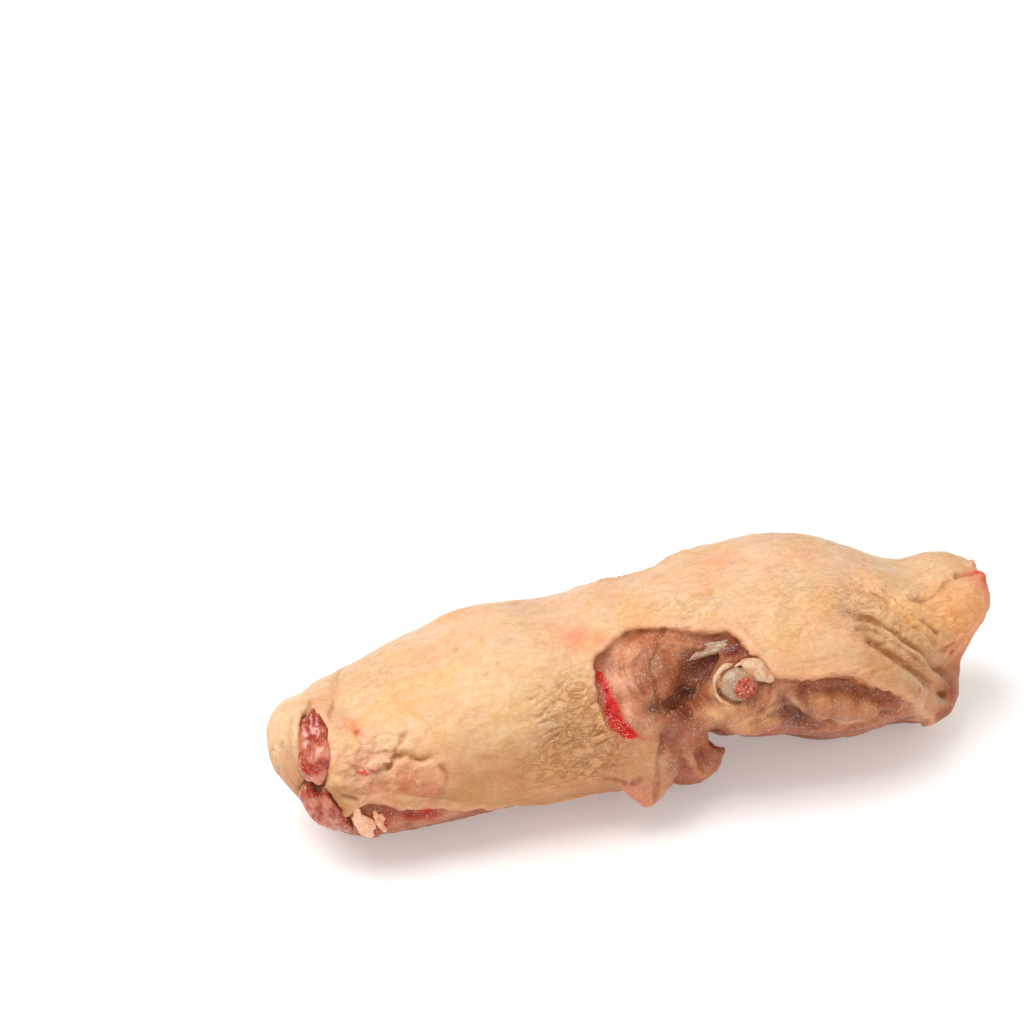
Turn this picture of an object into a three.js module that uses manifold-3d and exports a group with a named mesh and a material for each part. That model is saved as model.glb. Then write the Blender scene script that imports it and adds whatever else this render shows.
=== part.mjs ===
// A raw chicken back with its skin and tail, cut from the bird along both sides of the spine.
// Millimetres, +Z up. The neck end is towards -X, the tail towards +X, and the hip that shows best faces -Y.
// Skin, flesh and the cut flap are one solid. The hip joints and the neck muscles are solids of their own.
import * as THREE from 'three';
import { mergeVertices } from 'three/addons/utils/BufferGeometryUtils.js';
import Module from 'manifold-3d';

const GAP = 0.3; // between two solids that touch
const REACH = 62; // further from the axis than any skin
const STEP = 1.5; // stride of the search for the surface

const wasm = await Module();
wasm.setup();

// ---------------------------------------------------------------- smooth forms as distances

// A smooth value through rows of { at, [key] }, flat at both ends.
function through(rows, key, at) {
  const last = rows.length - 1;
  if (at <= rows[0].at) return rows[0][key];
  if (at >= rows[last].at) return rows[last][key];
  const i = rows.findIndex((row) => row.at > at) - 1;
  const slope = (k) =>
    k <= 0 || k >= last ? 0 : (rows[k + 1][key] - rows[k - 1][key]) / (rows[k + 1].at - rows[k - 1].at);
  const span = rows[i + 1].at - rows[i].at;
  const t = (at - rows[i].at) / span;
  return (
    rows[i][key] * (2 * t ** 3 - 3 * t ** 2 + 1) +
    rows[i + 1][key] * (3 * t ** 2 - 2 * t ** 3) +
    slope(i) * span * (t ** 3 - 2 * t ** 2 + t) +
    slope(i + 1) * span * (t ** 3 - t ** 2)
  );
}

// How far an end is open: 0 at the tip, 1 once past the rounding.
function rounded(share, blunt) {
  const t = Math.min(1, Math.max(0, share));
  return (1 - (1 - t) ** blunt) ** (1 / blunt);
}

// A trunk along X whose sections are unequal ovals: near and far are its half widths, up and down its half heights.
// under is how square the lower half is: 2 is an oval, less is more like a keel.
function trunk({ rows, from, to, roundFrom, roundTo, blunt = 2.2, over = 2.15 }) {
  return (p) => {
    const beyond = Math.max(from - p.x, p.x - to, 0);
    const x = Math.min(to, Math.max(from, p.x));
    const size = Math.max(0.02, rounded((x - from) / roundFrom, blunt) * rounded((to - x) / roundTo, blunt));
    const y = p.y - through(rows, 'y', x);
    const z = p.z - through(rows, 'z', x);
    const across = size * through(rows, y < 0 ? 'near' : 'far', x);
    const tall = size * through(rows, z < 0 ? 'down' : 'up', x);
    const square = z < 0 ? through(rows, 'under', x) : over;
    const share = (Math.abs(y / across) ** square + Math.abs(z / tall) ** square) ** (1 / square);
    return (share - 1) * Math.min(across, tall) + beyond;
  };
}

// A rounded lump with three half sizes, turned about its middle. square is 2 for an egg and more for a blunt block.
function lump({ at, half, turn = [0, 0, 0], square = 2 }) {
  const angles = turn.map(THREE.MathUtils.degToRad);
  const into = new THREE.Matrix4()
    .makeRotationFromEuler(new THREE.Euler(...angles, 'ZYX'))
    .setPosition(...at)
    .invert();
  const local = new THREE.Vector3();
  return (p) => {
    local.copy(p).applyMatrix4(into);
    const [x, y, z] = [local.x / half[0], local.y / half[1], local.z / half[2]];
    const share = (Math.abs(x) ** square + Math.abs(y) ** square + Math.abs(z) ** square) ** (1 / square);
    const steep = Math.hypot(x / half[0], y / half[1], z / half[2]) / Math.max(1e-6, Math.hypot(x, y, z));
    return (share - 1) / Math.max(1e-6, steep);
  };
}

// A round-bottomed line through points: a crease when it is cut, a fold or sinew when it is joined.
function fold({ points, width }) {
  const line = new THREE.CatmullRomCurve3(points.map((point) => new THREE.Vector3(...point)), false, 'centripetal');
  const steps = line.getPoints(points.length * 5);
  const nearest = new THREE.Vector3();
  const piece = new THREE.Line3();
  return (p) => {
    let best = Infinity;
    for (let i = 1; i < steps.length; i++) {
      piece.set(steps[i - 1], steps[i]).closestPointToPoint(p, true, nearest);
      best = Math.min(best, nearest.distanceTo(p));
    }
    return best - width / 2;
  };
}

// Two distances joined, or one cut from the other, with the seam rounded over `blend` millimetres.
function joined(a, b, blend) {
  const near = Math.max(blend - Math.abs(a - b), 0) / blend;
  return Math.min(a, b) - (near ** 2 * blend) / 4;
}
const cut = (a, b, blend) => -joined(-a, b, blend);

// One distance for a first form with others joined to it and cut from it in turn.
function combined(first, changes) {
  return (p) => {
    let far = first(p);
    for (const { add, less, blend } of changes) far = add ? joined(far, add(p), blend) : cut(far, less(p), blend);
    return far;
  };
}

// ---------------------------------------------------------------- geometry

// A ball drawn out along an axis of rows { at, y, z } until every point lies on the form. It stands on the table, Z = 0.
function traced({ form, rows, from, to, along, around }) {
  const ball = new THREE.SphereGeometry(1, around, along);
  const place = ball.attributes.position;
  const p = new THREE.Vector3();
  const axis = (x) => p.set(x, through(rows, 'y', x), through(rows, 'z', x));
  const tip = (inside, outside) => {
    let [low, high] = [inside, outside];
    for (let i = 0; i < 30; i++) {
      const middle = (low + high) / 2;
      if (form(axis(middle)) < 0) low = middle;
      else high = middle;
    }
    return low;
  };
  const [first, last] = [tip((from + to) / 2, from), tip((from + to) / 2, to)];
  for (let i = 0; i < place.count; i++) {
    const share = (1 - Math.max(-1, Math.min(1, place.getY(i)))) / 2;
    const pole = share < 1e-6 || share > 1 - 1e-6;
    const x = first + (last - first) * share;
    const [y, z] = [through(rows, 'y', x), through(rows, 'z', x)];
    const turn = Math.PI * (1 - (2 * ((i % (around + 1)) % around)) / around);
    const [out, up] = [Math.cos(turn), Math.sin(turn)];
    let outer = REACH;
    while (!pole && outer > STEP && form(p.set(x, y + outer * out, z + outer * up)) > 0) outer -= STEP;
    let [low, high] = pole ? [0, 0] : [outer, outer + STEP];
    for (let k = 0; k < 12 && !pole; k++) {
      const middle = (low + high) / 2;
      if (form(p.set(x, y + middle * out, z + middle * up)) > 0) high = middle;
      else low = middle;
    }
    place.setXYZ(i, x, y + low * out, Math.max(0, z + low * up));
  }
  return ball;
}

// A ball about a centre whose points are moved in until they lie on the form, for a lobe or a muscle of its own.
function grown({ form, centre, reach, along, around }) {
  const ball = new THREE.SphereGeometry(1, around, along);
  const place = ball.attributes.position;
  const [p, out] = [new THREE.Vector3(), new THREE.Vector3()];
  for (let i = 0; i < place.count; i++) {
    const row = Math.floor(i / (around + 1));
    const turn = (2 * Math.PI * (i % (around + 1) % around)) / around;
    const lean = (Math.PI * row) / along;
    out.set(Math.sin(lean) * Math.cos(turn), Math.sin(lean) * Math.sin(turn), Math.cos(lean));
    if (row === 0 || row === along) out.set(0, 0, row === 0 ? 1 : -1);
    const at = (far) => form(p.set(...centre).addScaledVector(out, far));
    let outer = reach;
    while (outer > STEP && at(outer) > 0) outer -= STEP;
    let [low, high] = [outer, outer + STEP];
    for (let k = 0; k < 12; k++) {
      const middle = (low + high) / 2;
      if (at(middle) > 0) high = middle;
      else low = middle;
    }
    at(low);
    place.setXYZ(i, p.x, p.y, Math.max(0, p.z));
  }
  const index = [];
  const corner = (row, column) => row * (around + 1) + column;
  for (let row = 0; row < along; row++) {
    for (let column = 0; column < around; column++) {
      const [a, b, c, d] = [corner(row, column), corner(row + 1, column), corner(row + 1, column + 1), corner(row, column + 1)];
      if (row < along - 1) index.push(a, b, c);
      if (row > 0) index.push(a, c, d);
    }
  }
  ball.setIndex(index);
  return ball;
}

// A closed geometry as a solid that can be joined and cut.
function solid(geometry) {
  const bare = geometry.clone();
  bare.deleteAttribute('normal');
  bare.deleteAttribute('uv');
  const merged = mergeVertices(bare, 1e-4);
  return new wasm.Manifold(
    new wasm.Mesh({
      numProp: 3,
      vertProperties: new Float32Array(merged.attributes.position.array),
      triVerts: new Uint32Array(merged.index.array),
    }),
  );
}

// A solid as a named mesh.
function meshOf(made, name, material) {
  const { vertProperties, triVerts } = made.getMesh();
  const geometry = new THREE.BufferGeometry();
  geometry.setAttribute('position', new THREE.BufferAttribute(new Float32Array(vertProperties), 3));
  geometry.setIndex(new THREE.BufferAttribute(new Uint32Array(triVerts), 1));
  geometry.computeVertexNormals();
  const mesh = new THREE.Mesh(geometry, material);
  mesh.name = name;
  return mesh;
}

// ---------------------------------------------------------------- the skin

const SKIN_ROWS = [
  { at: -104, y: -2, z: 29, near: 20, far: 22, up: 12, down: 14, under: 2.2 },
  { at: -86, y: 1, z: 23, near: 27, far: 27.5, up: 17.5, down: 19, under: 2.1 },
  { at: -64, y: 2, z: 25, near: 30, far: 32, up: 22, down: 26, under: 1.8 },
  { at: -43, y: 2, z: 26, near: 32, far: 36.5, up: 26.5, down: 28, under: 1.6 },
  { at: -15, y: 1, z: 26, near: 33, far: 37, up: 26, down: 27.5, under: 1.65 },
  { at: 10, y: 1, z: 29, near: 36, far: 38, up: 25, down: 27, under: 1.8 },
  { at: 35, y: 1, z: 33, near: 37, far: 38, up: 25, down: 29, under: 1.6 },
  { at: 58, y: 1, z: 32, near: 37.5, far: 38, up: 25.5, down: 33.5, under: 1.65 },
  { at: 76, y: 1, z: 28, near: 33, far: 34, up: 22, down: 29, under: 1.6 },
  { at: 90, y: 1, z: 25, near: 24, far: 26, up: 18, down: 20, under: 1.9 },
  { at: 113, y: 3, z: 36, near: 20, far: 22, up: 10, down: 20, under: 2 },
];

// The arch under the near hip, behind the flap.
const ARCH = [
  { less: lump({ at: [18, -26, 3], half: [10, 26, 21] }), blend: 6 },
  { less: lump({ at: [34, -30, 1], half: [20, 22, 14] }), blend: 8 },
];

const skinForm = combined(
  trunk({ rows: SKIN_ROWS, from: -102, to: 94, roundFrom: 16, roundTo: 14 }),
  [
    { add: lump({ at: [-88, -5, 19], half: [12, 15, 12] }), blend: 6 }, // stump under the roll
    { add: lump({ at: [-95, -3, 30.5], half: [11.5, 20, 13.5], turn: [0, 16, 10] }), blend: 4 }, // neck roll
    { less: fold({ points: [[-83, 14, 45], [-83, -4, 45.5], [-86, -21, 37], [-89, -28, 25]], width: 1.5 }), blend: 3 },
    { add: lump({ at: [91, 3, 32.5], half: [15, 19, 12], turn: [0, 4, 0], square: 2.4 }), blend: 7 }, // tail
    { add: lump({ at: [102, 3, 38.5], half: [10.5, 14, 7], turn: [0, 16, 0], square: 2.4 }), blend: 5 }, // tail tip
    { add: lump({ at: [85, -8, 14], half: [16, 17, 11] }), blend: 4 }, // skin under the tail
    { less: fold({ points: [[74, -36, 38], [84, -28, 31], [95, -25, 24], [104, -20, 17]], width: 3 }), blend: 3.5 },
    ...ARCH,
  ],
);

const skin = traced({ form: skinForm, rows: SKIN_ROWS, from: -120, to: 120, along: 74, around: 38 });

// ---------------------------------------------------------------- the flesh under it

const FLESH_ROWS = [
  { at: -26, y: 1, z: 27, near: 30, far: 32, up: 21, down: 22, under: 1.8 },
  { at: 0, y: 1, z: 29, near: 31, far: 34, up: 22, down: 24, under: 1.8 },
  { at: 15, y: 1, z: 31, near: 31, far: 35, up: 21, down: 22, under: 1.8 },
  { at: 35, y: 1, z: 33, near: 33.5, far: 35, up: 22, down: 27, under: 1.6 },
  { at: 58, y: 1, z: 31, near: 34.5, far: 34, up: 22, down: 30.5, under: 1.7 },
  { at: 76, y: 1, z: 26, near: 30.5, far: 31, up: 18, down: 24.5, under: 1.7 },
  { at: 92, y: 0, z: 18, near: 21, far: 22, up: 12, down: 15, under: 1.8 },
];

const fleshForm = combined(
  trunk({ rows: FLESH_ROWS, from: -26, to: 90, roundFrom: 12, roundTo: 14 }),
  [
    { less: lump({ at: [13, -26, 45], half: [9, 12, 9], turn: [-42, 0, 0] }), blend: 5 }, // hollow before the joint
    { less: lump({ at: [3, -40, 27], half: [13, 12, 12], turn: [-10, 0, 0] }), blend: 6 }, // hollow over the flap
    ...ARCH,
    { add: lump({ at: [25, -23, 40], half: [13, 10, 10], turn: [-42, 0, 0] }), blend: 4 }, // round the hip joint
    { add: lump({ at: [-4, -18.5, 37.5], half: [11, 7.5, 16], turn: [-44, 0, 0] }), blend: 4 }, // thigh muscle left on
    { add: lump({ at: [60, -27, 27], half: [20, 7, 6], turn: [-30, 12, -4] }), blend: 3 }, // muscle behind the joint
  ],
);

const flesh = traced({ form: fleshForm, rows: FLESH_ROWS, from: -36, to: 102, along: 56, around: 50 });

// The two lobes of the flap that hangs from the front of the near hip.
const nearLobe = grown({
  form: combined(lump({ at: [-5.5, -30, 22.5], half: [11.5, 4.5, 13], turn: [-4, -8, -8], square: 1.5 }), []),
  centre: [-5.5, -30, 22.5],
  reach: 22,
  along: 16,
  around: 18,
});
const farLobe = grown({
  form: combined(lump({ at: [10.5, -21, 17], half: [11.5, 5.5, 12], turn: [-8, 20, -10], square: 1.8 }), [
    { less: lump({ at: [14, -30, 20], half: [5, 8, 7], turn: [0, 20, 0] }), blend: 3 },
  ]),
  centre: [10.5, -19, 17],
  reach: 22,
  along: 16,
  around: 18,
});

// Scraps left at the cut neck and along the lower edge of the skin: fat, gristle and a strip of red meat.
const SCRAPS = [
  { at: [-87.5, -17.5, 15], half: [3.4, 4, 6], turn: [0, -30, 0] },
  { at: [-82.5, -20, 15], half: [3, 3.6, 5], turn: [0, -14, 0] },
  { at: [-66, -21.5, 15], half: [18, 5, 3.4], turn: [-30, 1, 2] },
];
const scraps = SCRAPS.map((size) => solid(grown({ form: lump(size), centre: size.at, reach: 24, along: 10, around: 12 })));

// ---------------------------------------------------------------- openings in the skin

const HIP_SLOPE = 42; // degrees that the opened side looks up
const HIP_FLOOR = 12; // how far out the cut's floor lies, along that look
// Drawn along the back and up the slope of the side, seen from outside.
const NEAR_OUTLINE = [
  [-9, -8], [-13, 3], [-17, 12], [-18, 20], [-14, 29], [-6, 34], [6, 34.5], [15, 31], [23, 27.5],
  [29, 18.5], [33, 11], [42, 9.5], [52, 8.5], [62, 3], [74, -4], [85, -9], [84, -20], [60, -34], [8, -34],
];
const FAR_OUTLINE = [
  [0, -8], [-4, 4], [-5, 11], [0, 17], [8, 19.5], [18, 19.5], [28, 16.5], [36, 10], [48, 7],
  [60, 3], [72, -5], [76, -16], [56, -32], [8, -30],
];

// A block that cuts the skin away inside an outline, on the side that looks towards -Y or, for the far side, +Y.
function opening(outline, far = false) {
  const side = far ? -1 : 1;
  const corners = outline.map(([x, up]) => new THREE.Vector3(x * side, up, 0));
  const line = new THREE.CatmullRomCurve3(corners, true, 'centripetal');
  const shape = new THREE.Shape(line.getPoints(64).slice(0, -1).map(({ x, y }) => new THREE.Vector2(x, y)));
  const block = new THREE.ExtrudeGeometry(shape, { depth: 60, bevelEnabled: false });
  block.translate(0, 0, HIP_FLOOR);
  block.rotateX(THREE.MathUtils.degToRad(90 - HIP_SLOPE));
  if (far) block.rotateZ(Math.PI);
  return block;
}

// ---------------------------------------------------------------- hip joints

// A turned profile of [radius, height] stood on its axis, with that axis along `look` from `at`.
function turned(profile, at, look) {
  const lathe = new THREE.LatheGeometry(profile.map(([r, h]) => new THREE.Vector2(r, h)), 24);
  lathe.applyQuaternion(new THREE.Quaternion().setFromUnitVectors(new THREE.Vector3(0, 1, 0), look));
  return lathe.translate(...at.toArray());
}

const BONE_RADIUS = 5.4; // the ball left in the joint
const MARROW_RADIUS = 3.1;
const MARROW_OFF = 1.1; // how far the marrow is from the ball's middle

// A hip joint seated in the flesh at a point that looks outwards: its bone, its marrow and the socket to cut.
function joint(at, look) {
  const sideways = new THREE.Vector3(1, 0, 0).projectOnPlane(look).normalize();
  const core = at.clone().addScaledVector(sideways, MARROW_OFF);
  const ball = (more) => [
    [0, -6 - more], [BONE_RADIUS - 1.2 + more, -6 - more], [BONE_RADIUS + more, -4.5], [BONE_RADIUS + more, 0],
    [BONE_RADIUS - 1 + more, 1.8 + more], [BONE_RADIUS - 2.6, 2.6 + more], [0, 2.8 + more],
  ];
  const plug = (more, top) => [
    [0, -3 - more], [MARROW_RADIUS + more, -3 - more], [MARROW_RADIUS + more, top - 0.8], [MARROW_RADIUS - 1, top], [0, top],
  ];
  return {
    bone: solid(turned(ball(0), at, look)).subtract(solid(turned(plug(GAP, 9), core, look))),
    marrow: solid(turned(plug(0, 2.4), core, look)),
    socket: solid(turned([...ball(GAP).slice(0, 4), [BONE_RADIUS + 1.6, 3], [BONE_RADIUS + 3, 12], [0, 12]], at, look)),
  };
}

const nearJoint = joint(new THREE.Vector3(23.5, -28.5, 43), new THREE.Vector3(-0.12, -0.77, 0.62).normalize());
const farJoint = joint(new THREE.Vector3(24, 29, 41), new THREE.Vector3(-0.05, 0.8, 0.6).normalize());

// ---------------------------------------------------------------- neck muscles

const UPPER_MUSCLE = { at: [-97.5, -11.5, 38.3], half: [5, 10.8, 4.4], turn: [43, 0, 8] };
const UPPER_POCKET = { at: [-98.9, -13.8, 41.8], half: [5, 11.2, 4.4], turn: [43, 0, 8] };
const LOWER_MUSCLE = { at: [-96, -17.5, 22.5], half: [4.6, 5.5, 10.5], turn: [0, -31, 0] };
const muscle = (size, more) =>
  solid(
    grown({
      form: lump({ ...size, half: size.half.map((h) => h + more), square: 2.3 }),
      centre: size.at,
      reach: 18,
      along: 14,
      around: 16,
    }),
  );

const opened = solid(skin)
  .subtract(solid(opening(NEAR_OUTLINE)))
  .subtract(solid(opening(FAR_OUTLINE, true)));
const body = [flesh, nearLobe, farLobe]
  .map(solid)
  .concat(scraps)
  .reduce((made, more) => made.add(more), opened)
  .subtract(nearJoint.socket)
  .subtract(farJoint.socket)
  .subtract(muscle(UPPER_MUSCLE, GAP))
  .subtract(muscle(UPPER_POCKET, 1))
  .subtract(muscle(LOWER_MUSCLE, GAP));

// The origin goes under the middle of the body, on the table.
const { min, max } = body.boundingBox();
const centred = (made) => made.translate([-(min[0] + max[0]) / 2, -(min[1] + max[1]) / 2, 0]);

const skinMaterial = new THREE.MeshStandardMaterial({ color: 0xeecb9b, roughness: 0.5, metalness: 0 });
const boneMaterial = new THREE.MeshStandardMaterial({ color: 0xcfc0b4, roughness: 0.4, metalness: 0 });
const marrowMaterial = new THREE.MeshStandardMaterial({ color: 0xb5524a, roughness: 0.6, metalness: 0 });
const muscleMaterial = new THREE.MeshStandardMaterial({ color: 0xb8685a, roughness: 0.35, metalness: 0 });

const back = new THREE.Group();
back.add(meshOf(centred(body), 'skin_and_flesh', skinMaterial));
back.add(meshOf(centred(nearJoint.bone), 'hip_bone_near', boneMaterial));
back.add(meshOf(centred(nearJoint.marrow), 'hip_marrow_near', marrowMaterial));
back.add(meshOf(centred(farJoint.bone), 'hip_bone_far', boneMaterial.clone()));
back.add(meshOf(centred(farJoint.marrow), 'hip_marrow_far', marrowMaterial.clone()));
back.add(meshOf(centred(muscle(UPPER_MUSCLE, 0)), 'neck_muscle_upper', muscleMaterial));
back.add(meshOf(centred(muscle(LOWER_MUSCLE, 0).subtract(muscle(UPPER_MUSCLE, GAP))), 'neck_muscle_lower', muscleMaterial.clone()));

export default back;
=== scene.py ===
# %% [markdown]
# # A raw chicken back
# The solid model comes first. It is loaded as a fixed frame, in metres, and every piece made below goes
# where that frame says, so nothing has to be fitted by eye.

import math

import bpy
import mathutils
import numpy as np
from mathutils import Matrix, Vector


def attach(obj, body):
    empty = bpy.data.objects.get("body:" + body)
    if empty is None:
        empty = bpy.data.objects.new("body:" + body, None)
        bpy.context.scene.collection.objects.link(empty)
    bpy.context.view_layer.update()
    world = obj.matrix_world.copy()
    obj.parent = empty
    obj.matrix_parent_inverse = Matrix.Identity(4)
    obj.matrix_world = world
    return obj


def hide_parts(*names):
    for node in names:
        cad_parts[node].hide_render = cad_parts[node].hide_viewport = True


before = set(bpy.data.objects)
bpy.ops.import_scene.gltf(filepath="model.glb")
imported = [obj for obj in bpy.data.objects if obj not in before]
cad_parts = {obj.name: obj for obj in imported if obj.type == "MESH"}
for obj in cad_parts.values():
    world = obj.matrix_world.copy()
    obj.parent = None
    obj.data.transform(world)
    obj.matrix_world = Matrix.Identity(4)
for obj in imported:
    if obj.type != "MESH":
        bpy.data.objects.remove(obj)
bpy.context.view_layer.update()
print("nodes:", sorted(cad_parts))

# %% [markdown]
# The camera looks at the hip side from a little towards the neck and well above. A long lens from 0.9 m
# keeps the piece from spreading towards the viewer, as in a product photograph.

# %% Camera
TURN = math.radians(-18)
TILT = math.radians(35)
FOCAL_PIXELS = 3060
PICTURE_PIXELS = 1024
SENSOR_MM = 36.0
BACK_M, RIGHT_M, UP_M = 0.9019, -0.0363, 0.0716

back = Vector((math.sin(TURN) * math.cos(TILT), -math.cos(TURN) * math.cos(TILT), math.sin(TILT)))
right = Vector((math.cos(TURN), math.sin(TURN), 0))
up = back.cross(right)
bpy.ops.object.camera_add(location=back * BACK_M + right * RIGHT_M + up * UP_M)
camera = bpy.context.object
camera.rotation_euler = back.to_track_quat("Z", "Y").to_euler()
camera.data.sensor_width = SENSOR_MM
camera.data.lens = FOCAL_PIXELS / PICTURE_PIXELS * SENSOR_MM
camera.data.clip_start = 0.01
bpy.context.scene.camera = camera
print("camera at", [round(v, 3) for v in camera.location], "lens", round(camera.data.lens, 1))

# %% [markdown]
# Raw meat is lit softly, or its wet surface breaks into hard spots. One broad light stands above and behind
# on the left, a weaker one in front, and the world fills the rest. Wet meat mirrors the room, which greys
# it, so the room is darker in reflections. Plain view colours keep the creams from greying.

# %% Light
LAMPS = {
    "key_light": {"place": (-0.42, 0.1, 1.0), "size": 0.85, "watts": 11.5},
    "front_light": {"place": (0.5, -1.0, 0.6), "size": 0.9, "watts": 3.0},
}
LAMPS_AIM = (0, 0, 0.02)
ROOM_COLOUR = (1.0, 0.985, 0.97, 1)
ROOM_LIGHT = 0.64
ROOM_MIRRORED = 0.2

for name, settings in LAMPS.items():
    bpy.ops.object.light_add(type="AREA", location=settings["place"])
    lamp = bpy.context.object
    lamp.name = name
    lamp.data.size = settings["size"]
    lamp.data.energy = settings["watts"]
    towards = Vector(settings["place"]) - Vector(LAMPS_AIM)
    lamp.rotation_euler = towards.to_track_quat("Z", "Y").to_euler()

world = bpy.data.worlds.new("soft_room")
bpy.context.scene.world = world
world.use_nodes = True
room = world.node_tree
room.nodes["Background"].inputs["Color"].default_value = ROOM_COLOUR
path = room.nodes.new("ShaderNodeLightPath")
level = room.nodes.new("ShaderNodeMapRange")
level.inputs["To Min"].default_value = ROOM_LIGHT
level.inputs["To Max"].default_value = ROOM_MIRRORED
room.links.new(path.outputs["Is Glossy Ray"], level.inputs["Value"])
room.links.new(level.outputs[0], room.nodes["Background"].inputs["Strength"])
bpy.context.scene.view_settings.view_transform = "Standard"

# %% [markdown]
# Blender's operators act on whatever is selected. These helpers select one piece alone, open it for
# editing, and read its points in millimetres, which are easier to think in than metres for something this
# small.

# %% Helpers for selecting and measuring
MM = 0.001


def only(piece):
    bpy.ops.object.select_all(action="DESELECT")
    piece.select_set(True)
    bpy.context.view_layer.objects.active = piece


def editing(piece, work):
    only(piece)
    bpy.ops.object.mode_set(mode="EDIT")
    work()
    bpy.ops.object.mode_set(mode="OBJECT")


def points_of(piece):
    flat = np.empty(len(piece.data.vertices) * 3)
    piece.data.vertices.foreach_get("co", flat)
    return flat.reshape(-1, 3) / MM


def normals_of(piece):
    flat = np.empty(len(piece.data.vertices) * 3)
    piece.data.vertices.foreach_get("normal", flat)
    return flat.reshape(-1, 3)


def applied(piece, kind, **settings):
    only(piece)
    modifier = piece.modifiers.new(kind.lower(), kind)
    for key, value in settings.items():
        setattr(modifier, key, value)
    bpy.ops.object.modifier_apply(modifier=modifier.name)


print("the body's solid:", len(points_of(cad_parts["skin_and_flesh"])), "points")

# %% [markdown]
# A strand is a soft rope of meat, fat or skin: a curve through a few points, as thick at each as wanted,
# turned into a mesh. A lump is a ball stretched three ways. Both are used as clay on the body and for small
# pieces.

# %% Strands and lumps
ROPE_ROUNDNESS = 5
LUMP_RINGS = 20


def strand(name, corners, widths):
    bpy.ops.curve.primitive_bezier_curve_add(location=(0, 0, 0))
    piece = bpy.context.object
    piece.name = name
    spline = piece.data.splines[0]
    spline.bezier_points.add(len(corners) - 2)
    for point, corner, width in zip(spline.bezier_points, corners, widths):
        point.co = Vector(corner) * MM
        point.radius = width
        point.handle_left_type = point.handle_right_type = "AUTO"
    piece.data.bevel_depth = MM
    piece.data.bevel_resolution = ROPE_ROUNDNESS
    piece.data.use_fill_caps = True
    bpy.ops.object.convert(target="MESH")
    return bpy.context.object


def lump(name, centre, half, turn=(0, 0, 0)):
    bpy.ops.mesh.primitive_uv_sphere_add(
        segments=2 * LUMP_RINGS, ring_count=LUMP_RINGS, radius=MM, location=Vector(centre) * MM,
        rotation=[math.radians(angle) for angle in turn])
    piece = bpy.context.object
    piece.name = name
    piece.scale = half
    bpy.ops.object.transform_apply(location=True, rotation=True, scale=True)
    return piece


# %% [markdown]
# Each hip joint has a centre and a direction it looks in. `beside` gives a point near it from millimetres
# along the back, up the slope and out towards the viewer, and `around` a row of points from angles and
# distances. So both sides are built by the same lines. `turned` gives the angles that lay a lump flat
# against the joint.

# %% The places of the hip joints
JOINTS = {
    "near": (Vector((20.96, -30.12, 43)), Vector((-0.12, -0.77, 0.62)).normalized()),
    "far": (Vector((21.46, 27.38, 41)), Vector((-0.05, 0.8, 0.6)).normalized()),
}


def axes(side):
    look = JOINTS[side][1]
    across = (Vector((1, 0, 0)) - look * look.x).normalized()
    return across, look.cross(across) * (1 if side == "near" else -1), look


def beside(side, along, up_slope, out):
    across, upward, look = axes(side)
    return JOINTS[side][0] + across * along + upward * up_slope + look * out


def around(side, steps, out, along=0.0, up_slope=0.0):
    row = []
    for degrees, radius in steps:
        angle = math.radians(degrees)
        row.append(beside(side, along + radius * math.cos(angle), up_slope + radius * math.sin(angle), out))
    return row


def turned(side, degrees):
    across, upward, look = axes(side)
    angle = math.radians(degrees)
    first = across * math.cos(angle) + upward * math.sin(angle)
    second = upward * math.cos(angle) - across * math.sin(angle)
    turn = Matrix((first, second, first.cross(second))).transposed().to_euler()
    return [math.degrees(angle) for angle in turn]


for side, (centre, look) in JOINTS.items():
    print(side, "joint: centre", [round(v, 1) for v in centre], "looks", [round(v, 2) for v in look])

# %% [markdown]
# The skin and the flesh are one body. It starts as a copy of the solid, with its loose triangles merged.
# Clay is added first: the pale collar round the joint, the long muscles behind it, the muscle left at the
# front and the walls of the flap. At the neck go the roll beside the muscle, the lips of the nick and the
# strips that hang below the skin. The tail gets its pointed tip, its lower edge and the roll between its
# folds. What shows on one side only is added after the rest is mirrored. A flat lump fills each joint's
# socket.

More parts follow.
